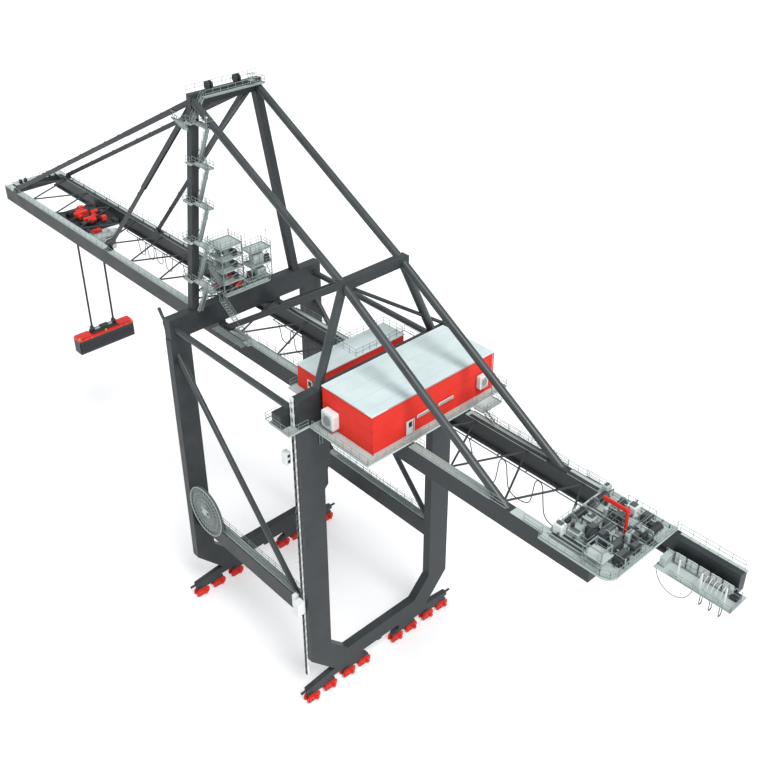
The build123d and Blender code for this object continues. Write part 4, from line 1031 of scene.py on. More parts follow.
# %% Dress the trolley
frame_low, frame_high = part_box("trolley_frame")
cab_low, cab_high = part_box("operator_cab")
deck_z = frame_high[2]
trolley_pieces = []
for end_x in (frame_low[0] + 0.07, frame_high[0] - 0.07):
    for rail_y in (-0.35, 0.35):
        carriage_low = (end_x - 0.075, rail_y - 0.04, deck_z + 0.001)
        carriage_high = (end_x + 0.075, rail_y + 0.04, deck_z + 0.055)
        trolley_pieces += box(carriage_low, carriage_high, "slate_paint")
        stop = (end_x + 0.075, rail_y, deck_z + 0.03), (end_x + 0.10, rail_y, deck_z + 0.03)
        trolley_pieces += rod(*stop, 0.014, "black_rubber", round_tube)
for walk_x in (frame_low[0] + 0.22, frame_high[0] - 0.24):
    walk_low = (walk_x - 0.03, -0.31, deck_z + 0.001)
    trolley_pieces += box(walk_low, (walk_x + 0.03, 0.31, deck_z + 0.008), "grating_paint")
trolley_drives = (
    ((5.30, 0.08), 0.16, 0.045, (0, 1, 0)),
    ((5.44, -0.06), 0.14, 0.040, (1, 0, 0)),
    ((5.60, 0.16), 0.16, 0.046, (1, 0, 0)),
    ((5.62, -0.14), 0.14, 0.040, (0, 1, 0)),
    ((5.82, 0.06), 0.16, 0.045, (0, 1, 0)),
)
for drive_at, length, radius, axis in trolley_drives:
    trolley_pieces += motor((*drive_at, deck_z + 0.135), length, radius, axis, "machine_red")
# Cases between the drives: lower corner, upper corner, top above the deck and finish.
trolley_cases = (
    ((5.36, -0.02), (5.42, 0.20), 0.17, "machine_red"),
    ((5.68, -0.06), (5.76, 0.22), 0.17, "machine_red"),
    ((5.90, -0.10), (6.00, 0.02), 0.17, "machine_red"),
    ((5.22, -0.20), (5.30, -0.10), 0.17, "machine_red"),
    ((5.50, 0.02), (5.55, 0.12), 0.15, "slate_paint"),
    ((5.84, 0.18), (5.92, 0.26), 0.15, "slate_paint"),
    ((5.24, 0.22), (5.32, 0.30), 0.15, "slate_paint"),
    ((5.50, -0.30), (5.60, -0.22), 0.15, "slate_paint"),
)
for case_low, case_high, case_top, finish in trolley_cases:
    trolley_pieces += box((*case_low, deck_z + 0.08), (*case_high, deck_z + case_top), finish)
gather("trolley_carriages", "trolley", trolley_pieces)
print("trolley has", len(trolley_pieces), "parts")

# %% [markdown]
# ## Deck over the cab
# A pale deck over the operator's cab lets a fitter reach the cab's hangers. It is laid between
# the cab's box and the frame's box, with a rail on its open sides and two cases on it.

# %% Lay the deck over the cab
cab_x = cab_low[0]
cab_deck_z = cab_high[2] + 0.012
deck_corner = (frame_low[0] - 0.002, 0.27, cab_deck_z)
cab_deck = box((cab_x - 0.02, -0.24, cab_high[2] + 0.004), deck_corner, "grating_paint")
cab_deck += handrail([(cab_x - 0.015, -0.235, cab_deck_z), (cab_x - 0.015, 0.265, cab_deck_z)],
                     pitch=0.1)
side_rail = [(cab_x - 0.015, 0.265, cab_deck_z), (frame_low[0] - 0.02, 0.265, cab_deck_z)]
cab_deck += handrail(side_rail, pitch=0.1)
cab_deck += box((cab_x + 0.05, -0.20, cab_deck_z), (cab_x + 0.20, -0.06, cab_high[2] + 0.09),
                "white_paint")
cab_deck += box((cab_x + 0.24, 0.02, cab_deck_z), (cab_x + 0.33, 0.20, cab_high[2] + 0.08),
                "machine_red")
gather("cab_deck", "trolley", cab_deck)
print("cab deck has", len(cab_deck), "parts")

# %% [markdown]
# ## Windows of the cab
# The cab is glazed nearly all round, so that the operator sees the load. Thin dark panes stand
# just proud of its walls. Cutting the openings would only show an empty room.

# %% Glaze the cab
cab_pieces = []
pane_z = (cab_low[2] + 0.09, cab_high[2] - 0.05)
for side in (-1, 1):
    face_y = side * (cab_high[1] + 0.001)
    for pane_x in (cab_x + 0.02, cab_x + 0.155, cab_x + 0.29):
        pane_low = (pane_x, face_y - 0.002, pane_z[0])
        cab_pieces += box(pane_low, (pane_x + 0.12, face_y + 0.002, pane_z[1]), "cab_glass")
    for edge_z in pane_z:
        edge_start, edge_end = (cab_x + 0.01, face_y, edge_z), (cab_high[0] - 0.01, face_y, edge_z)
        cab_pieces += bar(edge_start, edge_end, 0.003, 0.003, "white_paint")
for face_x in (cab_x - 0.001, cab_high[0] + 0.001):
    pane_low = (face_x - 0.002, cab_low[1] + 0.012, pane_z[0])
    cab_pieces += box(pane_low, (face_x + 0.002, cab_high[1] - 0.012, pane_z[1]), "cab_glass")
gather("cab_windows", "trolley", cab_pieces)
print("cab windows have", len(cab_pieces), "parts")

# %% [markdown]
# ## Hoist falls
# The ropes that carry the load run in two close groups of four down to the headblock, so each
# group reads as one dark line. The rings in their finish stand for the rope's lay. They replace
# the plain ropes of the CAD and ride with the load, because the load's end is the one to follow.

# %% Hang the hoist falls
rope_low, rope_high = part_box("hoist_ropes")
middle_x = (rope_low[0] + rope_high[0]) / 2
fall_places_y = (-0.24, 0.24)
falls = []
for fall_y in fall_places_y:
    for offset in (-0.030, -0.011, 0.011, 0.030):
        fall_x = middle_x + offset
        fall_foot, fall_head = (fall_x, fall_y, rope_low[2] + 0.045), (fall_x, fall_y, rope_high[2])
        falls += rod(fall_foot, fall_head, 0.0072, "rope_black")
gather("hoist_falls", "load", falls)
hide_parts("hoist_ropes")
print(len(falls), "falls hang from the trolley")

# %% [markdown]
# ## Sheaves of the headblock
# Each group of ropes turns round two sheaves between cheek plates. The sheave function makes a
# second, larger pattern for them, and the cheeks hide most of it, as they do on a crane.

# %% Set the sheaves of the headblock
fall_sheave = sheave_pattern(0.054, 0.02)
block_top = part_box("headblock")[1][2]
head_pieces = []
for fall_y in fall_places_y:
    for offset in (-0.012, 0.012):
        place = Matrix.Translation((middle_x, fall_y + offset, block_top + 0.052))
        head_pieces += [(fall_sheave, place, "rope_steel")]
    for cheek_y in (fall_y - 0.03, fall_y + 0.03):
        cheek_low = (middle_x - 0.045, cheek_y - 0.004, block_top - 0.01)
        cheek_high = (middle_x + 0.045, cheek_y + 0.004, block_top + 0.075)
        head_pieces += box(cheek_low, cheek_high, "slate_paint")
plate_high = (middle_x + 0.03, 0.20, block_top + 0.02)
head_pieces += box((middle_x - 0.03, -0.20, block_top), plate_high, "grating_paint")
case_low = (middle_x - 0.05, -0.10, block_top + 0.02)
head_pieces += box(case_low, (middle_x + 0.04, 0.08, block_top + 0.05), "slate_paint")
gather("headblock_sheaves", "load", head_pieces)
print("headblock has", len(head_pieces), "parts")

# %% [markdown]
# ## Container
# A container has eight corner castings, four corner posts and corrugated sides. Forty shallow
# ribs on each long side stand for the corrugation. A displaced grid would give waves as well,
# but ribs keep crisp edges with few faces.

# %% Dress the container
box_low, box_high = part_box("container")
load_pieces = []
corner_size = 0.02
for x in (box_low[0], box_high[0] - corner_size):
    for y in (box_low[1], box_high[1] - corner_size):
        for z in (box_low[2], box_high[2] - corner_size):
            load_pieces += box((x, y, z), (x + corner_size, y + corner_size, z + corner_size),
                               "orange_paint")
post_half = 0.006
for post_y in (box_low[1] + post_half, box_high[1] - post_half):
    for post_x in (box_low[0] + post_half, box_high[0] - post_half):
        post = (post_x, post_y, box_low[2] + 0.02), (post_x, post_y, box_high[2] - 0.02)
        load_pieces += bar(*post, post_half, post_half, "slate_paint")
rib_count = 40
for step in range(rib_count):
    rib_y = box_low[1] + 0.03 + step * (box_high[1] - box_low[1] - 0.06) / (rib_count - 1)
    for rib_x in (box_low[0] + 0.001, box_high[0] - 0.001):
        rib = (rib_x, rib_y, box_low[2] + 0.014), (rib_x, rib_y, box_high[2] - 0.014)
        load_pieces += bar(*rib, 0.0045, 0.001, "slate_paint")
gather("container_fittings", "load", load_pieces)
print("container has", len(load_pieces), "fittings")

# %% [markdown]
# ## Spreader
# The spreader grips the container by its corners. Its red arms lie on its beams, lamps run along
# the side, and yellow blocks mark the middle and both ends for the operator.

# %% Dress the spreader
spreader_low, spreader_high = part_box("spreader")
arm_top = spreader_high[2]
side_x = spreader_low[0]
arm_pieces = []
for rail_x in (side_x + 0.05, spreader_high[0] - 0.05):
    rail_start = (rail_x, spreader_low[1] + 0.05, arm_top + 0.006)
    rail_end = (rail_x, spreader_high[1] - 0.05, arm_top + 0.006)
    arm_pieces += bar(rail_start, rail_end, 0.010, 0.006, "machine_red")
for lamp_y in (-0.57, -0.45, -0.33, 0.33, 0.45, 0.57):
    lamp_low = (side_x - 0.002, lamp_y - 0.012, spreader_low[2] + 0.01)
    lamp_high = (side_x + 0.004, lamp_y + 0.012, spreader_low[2] + 0.03)
    arm_pieces += box(lamp_low, lamp_high, "orange_paint")
for low_y, high_y in ((spreader_low[1] + 0.002, -0.30), (0.30, spreader_high[1] - 0.002)):
    arm_high = (spreader_high[0] - 0.012, high_y, arm_top + 0.030)
    arm_pieces += box((side_x + 0.012, low_y, arm_top), arm_high, "machine_red")
for end_y in (spreader_low[1] + 0.003, -0.02, spreader_high[1] - 0.043):
    mark_high = (side_x + 0.05, end_y + 0.04, arm_top + 0.034)
    arm_pieces += box((side_x + 0.006, end_y, arm_top - 0.02), mark_high, "yellow_paint")
gather("spreader_arms", "load", arm_pieces)
print("spreader has", len(arm_pieces), "parts")

# %% [markdown]
# ## Winches
# The boom's and the trolley's ropes are tensioned on the service deck. A winch is a drum between
# two bearing stands, with a motor at one end. The turns of its rope are slightly wider rings, since a
# wound helix would look the same from here and take many more faces.

# %% The winch function and four winches
deck_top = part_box("service_platform")[1][2]
turn_pitch = 0.016


def winch(middle, length, radius):
    """A rope drum between two bearing stands, with rope turns and a motor at one end."""
    x, y, z = middle
    copies = rod((x, y - length / 2, z), (x, y + length / 2, z), radius, "slate_paint", round_tube)
    for step in range(int(length / turn_pitch)):
        at_y = y - length / 2 + 0.012 + step * turn_pitch
        copies += rod((x, at_y, z), (x, at_y + 0.008, z), radius * 1.06, "rope_steel", round_tube)
    for end in (-1, 1):
        at_y = y + end * length / 2
        copies += rod((x, at_y - 0.005, z), (x, at_y + 0.005, z), radius * 1.35, "rail_paint",
                      round_tube)
        stand_low = (x - radius * 0.9, at_y - 0.014, deck_top)
        copies += box(stand_low, (x + radius * 0.9, at_y + 0.014, z), "grating_paint")
    motor_at = (x + 0.02, y + length / 2 + 0.07, z)
    copies += motor(motor_at, 0.09, radius * 0.6, (0, 1, 0), "slate_paint")
    return copies


deck_machines = []
for winch_x, winch_y in ((-6.12, 0.12), (-6.12, -0.30), (-6.34, -0.34), (-6.86, -0.30)):
    deck_machines += winch((winch_x, winch_y, deck_top + 0.075), 0.20, 0.042)
deck_machines += motor((-6.52, 0.30, deck_top + 0.09), 0.22, 0.075, (1, 0, 0), "slate_paint")
print("winches and the large motor have", len(deck_machines), "parts")

# %% [markdown]
# ## Cabinets on the service deck
# Among the winches stand cabinets of all sizes. A table gives each its corner, size and finish,
# and each one gets a lid and a cable gland, so that none of them is a bare block.

# %% Stand the cabinets on the deck
deck_cabinets = (
    ((-6.44, 0.14), (0.12, 0.14, 0.12), "slate_paint"),
    ((-6.60, 0.20), (0.10, 0.13, 0.17), "slate_paint"),
    ((-6.78, 0.16), (0.11, 0.20, 0.11), "slate_paint"),
    ((-6.92, 0.24), (0.10, 0.20, 0.13), "slate_paint"),
    ((-6.34, 0.32), (0.16, 0.10, 0.07), "grating_paint"),
    ((-6.30, -0.02), (0.12, 0.12, 0.08), "grating_paint"),
    ((-6.56, -0.04), (0.14, 0.14, 0.06), "grating_paint"),
    ((-6.76, -0.06), (0.05, 0.13, 0.14), "grating_paint"),
    ((-6.92, 0.02), (0.10, 0.14, 0.10), "slate_paint"),
    ((-6.18, 0.42), (0.12, 0.10, 0.15), "white_paint"),
    ((-6.54, -0.24), (0.14, 0.12, 0.12), "slate_paint"),
    ((-6.56, -0.46), (0.12, 0.12, 0.15), "white_paint"),
    ((-6.74, -0.48), (0.12, 0.12, 0.10), "slate_paint"),
    ((-6.10, -0.54), (0.08, 0.10, 0.13), "grating_paint"),
)
for cabinet_at, cabinet_size, finish in deck_cabinets:
    low = Vector((*cabinet_at, deck_top))
    high = low + Vector(cabinet_size)
    deck_machines += box(low, high, finish)
    lid_inset = Vector((0.02, 0.02, 0))
    lid_low = Vector((low.x, low.y, high.z)) + lid_inset
    deck_machines += box(lid_low, high - lid_inset + Vector((0, 0, 0.012)), "reel_paint")
    gland = Vector((low.x + 0.03, high.y, low.z + 0.05))
    deck_machines += rod(gland, gland + Vector((0, 0.03, 0)), 0.014, "reel_paint", round_tube)
print(len(deck_cabinets), "cabinets stand on the deck")

# %% [markdown]
# ## Pipes and small boxes on the deck
# Hydraulic pipes cross between the machines on short feet. The smallest boxes are spread by
# steps that wrap round at the deck's edges, which gives the same clutter on each run without a
# table of places or a random seed.

# %% Lay the pipes on the deck
deck_pipe_radius, cross_pipe_radius = 0.0085, 0.0075
for pipe_y in (-0.16, -0.10, 0.06, 0.36, 0.40):
    pipe = (-6.04, pipe_y, deck_top + 0.012), (-6.95, pipe_y, deck_top + 0.012)
    deck_machines += rod(*pipe, 0.006, "reel_paint")
deck_machines += box((-6.98, -0.20, deck_top), (-6.60, -0.12, deck_top + 0.03), "slate_paint")


def deck_pipe(start, end, rise, radius, pipe_finish, foot_finish):
    """A pipe above the deck between two places on it, on a foot at each end."""
    tops = [(*place, deck_top + rise) for place in (start, end)]
    copies = rod(*tops, radius, pipe_finish, round_tube)
    for foot, top in zip((start, end), tops):
        copies += rod((*foot, deck_top), top, radius, foot_finish, round_tube)
    return copies


for y, rise, from_x, to_x in ((0.10, 0.06, -6.10, -6.50), (0.16, 0.11, -6.20, -6.62),
                              (0.30, 0.09, -6.42, -6.94), (-0.06, 0.07, -6.08, -6.60),
                              (-0.22, 0.10, -6.30, -6.90), (-0.40, 0.08, -6.12, -6.80),
                              (-0.52, 0.05, -6.14, -6.92)):
    ends = (from_x, y), (to_x, y)
    deck_machines += deck_pipe(*ends, rise, deck_pipe_radius, "grating_paint", "reel_paint")
for x, rise, from_y, to_y in ((-6.16, 0.13, -0.48, 0.30), (-6.38, 0.09, -0.30, 0.36),
                              (-6.48, 0.14, -0.50, 0.20), (-6.70, 0.12, -0.40, 0.36),
                              (-6.84, 0.08, -0.50, 0.16), (-6.96, 0.15, -0.20, 0.40)):
    ends = (x, from_y), (x, to_y)
    deck_machines += deck_pipe(*ends, rise, cross_pipe_radius, "reel_paint", "grating_paint")
small_finishes = ("slate_paint", "grating_paint", "reel_paint")
small_count = 22
for step in range(small_count):
    small_x, small_y = -6.08 - (step * 0.37) % 0.86, -0.52 + (step * 0.23) % 0.96
    size, tall = 0.03 + (step * 0.013) % 0.03, 0.04 + (step * 0.047) % 0.12
    small_high = (small_x + size, small_y + size * 1.2, deck_top + tall)
    deck_machines += box((small_x, small_y, deck_top), small_high, small_finishes[step % 3])
for rail_low, rail_high in (((-6.50, 0.02), (-6.06, 0.46)), ((-6.96, 0.02), (-6.56, 0.42)),
                            ((-6.74, -0.50), (-6.36, -0.12))):
    guard_edge = corners_at(rail_low, rail_high, deck_top)
    deck_machines += handrail(guard_edge, height=0.15, closed=True, pitch=0.1, toe=False)
deck_machines += box((-6.52, 0.44, deck_top + 0.0005), (-6.06, 0.60, deck_top + 0.004), "slate_paint")
gather("deck_machines", "root", deck_machines)
print("machines on the deck have", len(deck_machines), "parts")

# %% [markdown]
# ## Frames and rails of the deck
# Pale lifting frames stand at the near edge, under the small red jib that lifts the machines'
# parts. The handrail follows the deck's rounded corner in short straight pieces, as a welded
# rail does.

# %% Stand the frames and the deck's rail
deck_frames = []
frame_top = deck_top + 0.255
for frame_x in (-6.60, -6.80):
    for post_y in (0.44, 0.62):
        post = (frame_x, post_y, deck_top), (frame_x, post_y, deck_top + 0.26)
        deck_frames += bar(*post, 0.007, 0.007)
    deck_frames += bar((frame_x, 0.43, frame_top), (frame_x, 0.63, frame_top), 0.007, 0.007)
    deck_frames += ladder((frame_x, 0.66, deck_top), (frame_x, 0.66, deck_top + 0.24), 0.05, (1, 0, 0))
for beam_y in (0.44, 0.62):
    deck_frames += bar((-6.80, beam_y, frame_top), (-6.60, beam_y, frame_top), 0.007, 0.007)
deck_frames += box((-6.83, 0.42, deck_top + 0.12), (-6.57, 0.64, deck_top + 0.128), "grating_paint")
deck_edge = ((-6.02, 0.684), (-6.84, 0.684), (-6.95, 0.645), (-6.986, 0.54), (-6.986, -0.588))
deck_frames += handrail([(x, y, deck_top) for x, y in deck_edge], pitch=0.12)
deck_frames += handrail([(-5.998, 0.684, deck_top), (-5.998, 0.62, deck_top)], pitch=0.1)
stripe_z = deck_top + 0.004
for stripe_y in (0.50, 0.56):
    deck_frames += bar((-6.55, stripe_y, stripe_z), (-6.02, stripe_y, stripe_z), 0.012, 0.004)
gather("deck_frames", "root", deck_frames)
print("frames on the deck have", len(deck_frames), "parts")

# %% [markdown]
# ## Hoops and slings
# Half a ring makes a hoop to walk under, or a sling when it hangs upside down. It could be a
# bent curve, but a torus cut in half keeps its round section and stays an ordinary mesh. The cut
# is a bisect, which closes the two ends as well.

# %% The hoop function


def arch_pattern(radius, thickness):
    """Half a ring standing on its ends in the YZ plane, cut from a torus."""
    fresh()
    bpy.ops.mesh.primitive_torus_add(major_radius=radius, minor_radius=thickness, major_segments=20,
                                     minor_segments=6, rotation=(0, pi / 2, 0))
    bpy.ops.object.transform_apply(location=False, rotation=True, scale=False)
    bpy.ops.object.mode_set(mode="EDIT")
    bpy.ops.mesh.select_all(action="SELECT")
    bpy.ops.mesh.bisect(plane_co=(0, 0, 0), plane_no=(0, 0, 1), clear_inner=True, use_fill=True)
    bpy.ops.mesh.select_all(action="SELECT")
    bpy.ops.mesh.normals_make_consistent(inside=False)
    return take_mesh()


hoop = arch_pattern(0.13, 0.004)
sling_radius = 0.030
sling = arch_pattern(sling_radius, 0.006)
print("a hoop has", len(hoop.polygons), "faces")

# %% [markdown]
# ## The rear catwalk
# The catwalk hangs low beside the far girder. It has pale panels along the girder, tall posts,
# a row of hoops, and slings below for spare ropes. The panels stand clear of the girder's lower
# flange, or it would hide them.

# %% Dress the catwalk
catwalk_low, catwalk_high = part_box("rear_catwalk")
walk_top = catwalk_high[2]
walk_end_x, walk_near_y = catwalk_low[0] + 0.006, catwalk_high[1] - 0.006
walk_far_y = -0.372
inner_rail = [(walk_end_x, walk_far_y, walk_top), (catwalk_high[0] - 0.02, walk_far_y, walk_top)]
outer_rail = [(catwalk_high[0] - 0.20, walk_near_y, walk_top), (walk_end_x, walk_near_y, walk_top)]
catwalk = handrail(inner_rail, height=0.16)
catwalk += handrail([*outer_rail, inner_rail[0]], height=0.075)
for panel in range(5):
    panel_x = -7.12 - panel * 0.15
    panel_low = (panel_x - 0.135, -0.390, walk_top + 0.004)
    catwalk += box(panel_low, (panel_x, -0.382, walk_top + 0.16), "white_paint")
    post_low = (panel_x - 0.004, -0.384, walk_top + 0.004)
    catwalk += box(post_low, (panel_x + 0.006, -0.374, walk_top + 0.17), "reel_paint")
for post_x in (-7.28, -7.56, -7.86):
    post = (post_x, -0.20, walk_top), (post_x, -0.20, walk_top + 0.26)
    catwalk += bar(*post, 0.008, 0.008, "white_paint")
    catwalk += rod((post_x, -0.20, walk_top + 0.16), (post_x, -0.46, walk_top + 0.09), 0.004)
hoop_shape = Matrix.Diagonal((1, 0.62, 1.1, 1))
for step in range(6):
    hoop_place = Matrix.Translation((-7.52 - step * 0.055, -0.30, walk_top + 0.02))
    catwalk += [(hoop, hoop_place @ hoop_shape, "white_paint")]
upside_down = Matrix.Diagonal((1, 1, -1, 1))
sling_y = -0.195
for sling_x in (-7.60, -7.72, -7.84):
    sling_place = Matrix.Translation((sling_x, sling_y, walk_top - 0.13))
    catwalk += [(sling, sling_place @ upside_down, "slate_paint")]
    for leg_y in (sling_y - sling_radius, sling_y + sling_radius):
        leg = (sling_x, leg_y, walk_top - 0.132), (sling_x, leg_y, walk_top - 0.004)
        catwalk += rod(*leg, 0.0055, "reel_paint")
beam_z = walk_top - 0.016
for beam_x in (-7.10, -7.40, -7.70, -7.94):
    beam = (beam_x, catwalk_low[1] + 0.01, beam_z), (beam_x, catwalk_high[1] - 0.01, beam_z)
    catwalk += bar(*beam, 0.008, 0.007)
catwalk += box((-7.10, -0.42, walk_top), (-7.02, -0.22, walk_top + 0.13), "grating_paint")
catwalk += box((-7.93, -0.45, walk_top), (-7.84, -0.34, walk_top + 0.05), "slate_paint")
gather("catwalk_rails", "root", catwalk)
print("catwalk has", len(catwalk), "parts")

# %% [markdown]
# ## Cables that hang free
# The trolley takes its power through cables that hang in loops under the far girder, from a
# rail. A hanging cable is a smooth curve through few points, straight down from each carrier
# and round at the bottom. A cloth or rope simulation would find such a shape too, but a curve
# is the same on each run.

# %% The cable functions


def hanging_cable(name, body, points, diameter):
    """A cable of one open NURBS spline through its control points. It returns the cable's real length.
    """
    line = bpy.data.curves.new(name, "CURVE")
    line.dimensions = "3D"
    line.resolution_u = 8
    spline = line.splines.new("NURBS")
    spline.points.add(len(points) - 1)
    for spot, point in zip(spline.points, points):
        spot.co = (*point, 1)
    spline.order_u = 3
    spline.use_endpoint_u = True
    cable = bpy.data.objects.new(name, line)
    bpy.context.scene.collection.objects.link(cable)
    sampled = bpy.data.meshes.new_from_object(cable)
    spots = [vert.co.copy() for vert in sampled.vertices]
    length = sum((b - a).length for a, b in zip(spots, spots[1:]))
    bpy.data.meshes.remove(sampled)
    line.bevel_depth = diameter / 2
    line.bevel_resolution = 2
    line.use_fill_caps = True
    line.materials.append(finishes["black_rubber"])
    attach(cable, body)
    return length


def festoon(name, body, start_x, loops, pitch, drop, y, top_z):
    """Loops between carriers, each one down, round and up again, no two of them equally deep."""
    points = [(start_x, y, top_z)]
    half_z = top_z - drop * 0.45
    for loop in range(loops):
        left = start_x + loop * pitch
        deep = top_z - drop * (0.92 + 0.08 * cos(loop * 2.4))
        for share, z in ((0.14, half_z), (0.22, deep), (0.78, deep), (0.86, half_z)):
            points += [(left + pitch * share, y, z)]
        if loop < loops - 1:
            points += [(left + pitch * 0.90, y, top_z), (left + pitch * 1.10, y, top_z)]
    points += [(start_x + loops * pitch, y, top_z)]
    return hanging_cable(name, body, points, 0.014)


# %% [markdown]
# ## Festoons and their rails
# Four festoons hang along the crane. The two on the boom go up with it, and the other two stay
# with the girder. Each hangs from a rail that brackets hold off the girder. One more cable hangs
# in a single loop under the catwalk.

# %% Hang the festoons
festoon_y = -0.385
festoon_z = 4.905
lengths = [
    festoon("boom_festoon_outer", "boom", 3.30, 4, 0.30, 0.30, festoon_y, festoon_z),
    festoon("boom_festoon_inner", "boom", 1.45, 5, 0.30, 0.34, festoon_y, festoon_z),
    festoon("gauge_festoon", "root", -1.50, 5, 0.34, 0.34, festoon_y, festoon_z),
    festoon("rear_festoon", "root", -5.75, 3, 0.60, 0.56, festoon_y, festoon_z),
]
rail_z, bracket_z = festoon_z + 0.008, festoon_z + 0.016
festoon_rails = (("boom_festoon_rail", "boom", 1.2, 4.9), ("girder_festoon_rail", "root", -5.9, 0.35))
for name, body, low_x, high_x in festoon_rails:
    rail_ends = (low_x, festoon_y, rail_z), (high_x, festoon_y, rail_z)
    rail = bar(*rail_ends, 0.006, 0.006, "slate_paint")
    brackets = int((high_x - low_x) / 0.45)
    for step in range(brackets + 1):
        at_x = low_x + 0.02 + step * (high_x - low_x - 0.04) / brackets
        bracket = (at_x, festoon_y, bracket_z), (at_x, -0.424, bracket_z)
        rail += bar(*bracket, 0.008, 0.003, "slate_paint")
    gather(name, body, rail)
loop_y = -0.165
loop_shape = ((-7.03, 4.905), (-7.06, 4.78), (-7.20, 4.67), (-7.36, 4.68), (-7.47, 4.79),
              (-7.50, 4.905))
loop_points = [(x, loop_y, z) for x, z in loop_shape]
lengths.append(hanging_cable("catwalk_cable", "root", loop_points, 0.008))
print("cables hang with", [round(length, 2) for length in lengths], "m")

# %% [markdown]
# ## Cable reel
# The reel winds up the crane's supply cable. Its face is a web of spokes and rings, which turn
# with it. Short rods make the rings as well as the spokes: with as many of them as there are
# spokes, each ring meets each spoke at a joint.

# %% Spoke the reel
reel_low, reel_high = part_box("cable_reel")
reel_x, reel_z = (reel_low[0] + reel_high[0]) / 2, (reel_low[2] + reel_high[2]) / 2
reel_middle = Vector((reel_x, reel_high[1] + 0.001, reel_z))
spoke_count = 36
spokes = []
for step in range(spoke_count):
    turn, next_turn = 2 * pi * step / spoke_count, 2 * pi * (step + 1) / spoke_count
    out = Vector((cos(turn), 0, sin(turn)))
    next_out = Vector((cos(next_turn), 0, sin(next_turn)))
    spokes += rod(reel_middle + out * 0.07, reel_middle + out * 0.43, 0.0022, "grating_paint")
    for ring, thick in ((0.434, 0.006), (0.33, 0.0022), (0.22, 0.0022), (0.12, 0.0022)):
        spokes += rod(reel_middle + out * ring, reel_middle + next_out * ring, thick, "grating_paint")
spokes += rod(reel_middle, reel_middle + Vector((0, 0.03, 0)), 0.055, "grating_paint", round_tube)
for arm_z in (-0.05, 0.05):
    arm_low = reel_middle + Vector((-0.10, 0.006, arm_z - 0.012))
    arm_high = reel_middle + Vector((0.10, 0.016, arm_z + 0.012))
    spokes += box(arm_low, arm_high, "grating_paint")
gather("reel_spokes", "reel", spokes)
print("reel has", len(spokes), "spokes and rods")

# %% [markdown]
# ## Bogies
# Sixteen bogies carry the crane, eight on each rail. Each gets a cover and a travel drive on both
# faces, and a pin on top. Their places along the rail are the same on both rails, so one list
# serves all of them.

# %% Cover the bogies
bogie_low, bogie_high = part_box("bogies")
bogie_places_y = (-1.421, -1.079, -0.691, -0.367, 0.367, 0.691, 1.079, 1.421)
covers = []
for rail_x in (bogie_low[0] + 0.049, bogie_high[0] - 0.049):
    for place_y in bogie_places_y:
        for face in (-1, 1):
            cover_x, drive_x = rail_x + face * 0.066, rail_x + face * 0.115
            cover_low = (rail_x + face * 0.050, place_y - 0.10, 0.030)
            covers += box(cover_low, (cover_x, place_y + 0.10, 0.130), "machine_red")
            drive = (cover_x, place_y - 0.03, 0.09), (drive_x, place_y - 0.03, 0.09)
            covers += rod(*drive, 0.030, "machine_red", round_tube)
            cap = (cover_x, place_y + 0.05, 0.07), (rail_x + face * 0.072, place_y + 0.05, 0.07)
            covers += rod(*cap, 0.014, "slate_paint", round_tube)
        pin = (rail_x, place_y, 0.158), (rail_x, place_y, 0.178)
        covers += rod(*pin, 0.02, "slate_paint", round_tube)
gather("bogie_covers", "root", covers)
print("bogies have", len(covers), "parts")

# %% [markdown]
# ## Walks on the portal ties
# The ties between the waterside and the landside legs are wide enough to walk on, so each has a
# grating between two rails. Two struts on the near tie hold the reel's axle.

# %% Fence the portal ties
tie_walk = []
tie_top = 1.920
for side in (-1, 1):
    for edge_y in (1.225, 1.365):
        tie_edge = [(0.36, side * edge_y, tie_top), (-2.40, side * edge_y, tie_top)]
        tie_walk += handrail(tie_edge, pitch=0.17, toe=False)
    tie_low = (-2.40, side * 1.235, tie_top + 0.001)
    tie_walk += box(tie_low, (0.36, side * 1.355, tie_top + 0.006), "grating_paint")
strut_y = 1.30
for reach in (-0.25, 0.25):
    strut = (reel_x, strut_y, reel_z), (reel_x + reach, strut_y, tie_top)
    tie_walk += bar(*strut, 0.02, 0.03, "beam_paint")
gather("tie_walk", "root", tie_walk)
print("tie walks have", len(tie_walk), "members")

# %% [markdown]
# ## Stay clamps
# Each half of a stay carries clamps for the cable of the boom's lamps, and moves with that half.
# They are set along the straight line from the mast head to the boom, where the two halves lie
# at rest, and stay clear of the knee, where the halves fold past each other.

# %% Clamp the stays
stay_head = Vector((0.713, 0, 8.62))
stay_lines = (
    ("outer", Vector((7.413, 0, 5.246)), 0.566, 2.166),
    ("inner", Vector((3.878, 0, 5.246)), 0.490, 2.490),
)
stay_rise = 0.039
clamp_pitch = 0.55
clamp_total = 0
for line_name, stay_foot, stay_y, upper_length in stay_lines:
    run = stay_foot - stay_head
    half_clamp = run.normalized() * 0.02
    normal = Vector((-run.z, 0, run.x)).normalized()
    stay_halves = (("upper", 0.35, upper_length - 0.8),
                   ("lower", upper_length + 0.25, run.length - 0.25))
    for half_name, start_at, end_at in stay_halves:
        count = max(2, round((end_at - start_at) / clamp_pitch))
        clamps = []
        for step in range(count + 1):
            at = start_at + (end_at - start_at) * step / count
            share = at / run.length
            for side in (-1, 1):
                splay = Vector((0, side * (stay_y - 0.034 * (1 - share)), 0))
                foot = stay_head + run * share + splay + normal * stay_rise
                clamps += bar(foot - half_clamp, foot + half_clamp, 0.012, 0.006, "tube_paint")
                if step % 2:
                    clamps += rod(foot, foot + Vector((0, 0, 0.045)), 0.003)
        clamp_name = f"{line_name}_stay_{half_name}_clamps"
        gather(clamp_name, f"{line_name}_{half_name}", clamps)
        clamp_total += len(clamps)
print("stays carry", clamp_total, "clamps and lamps")

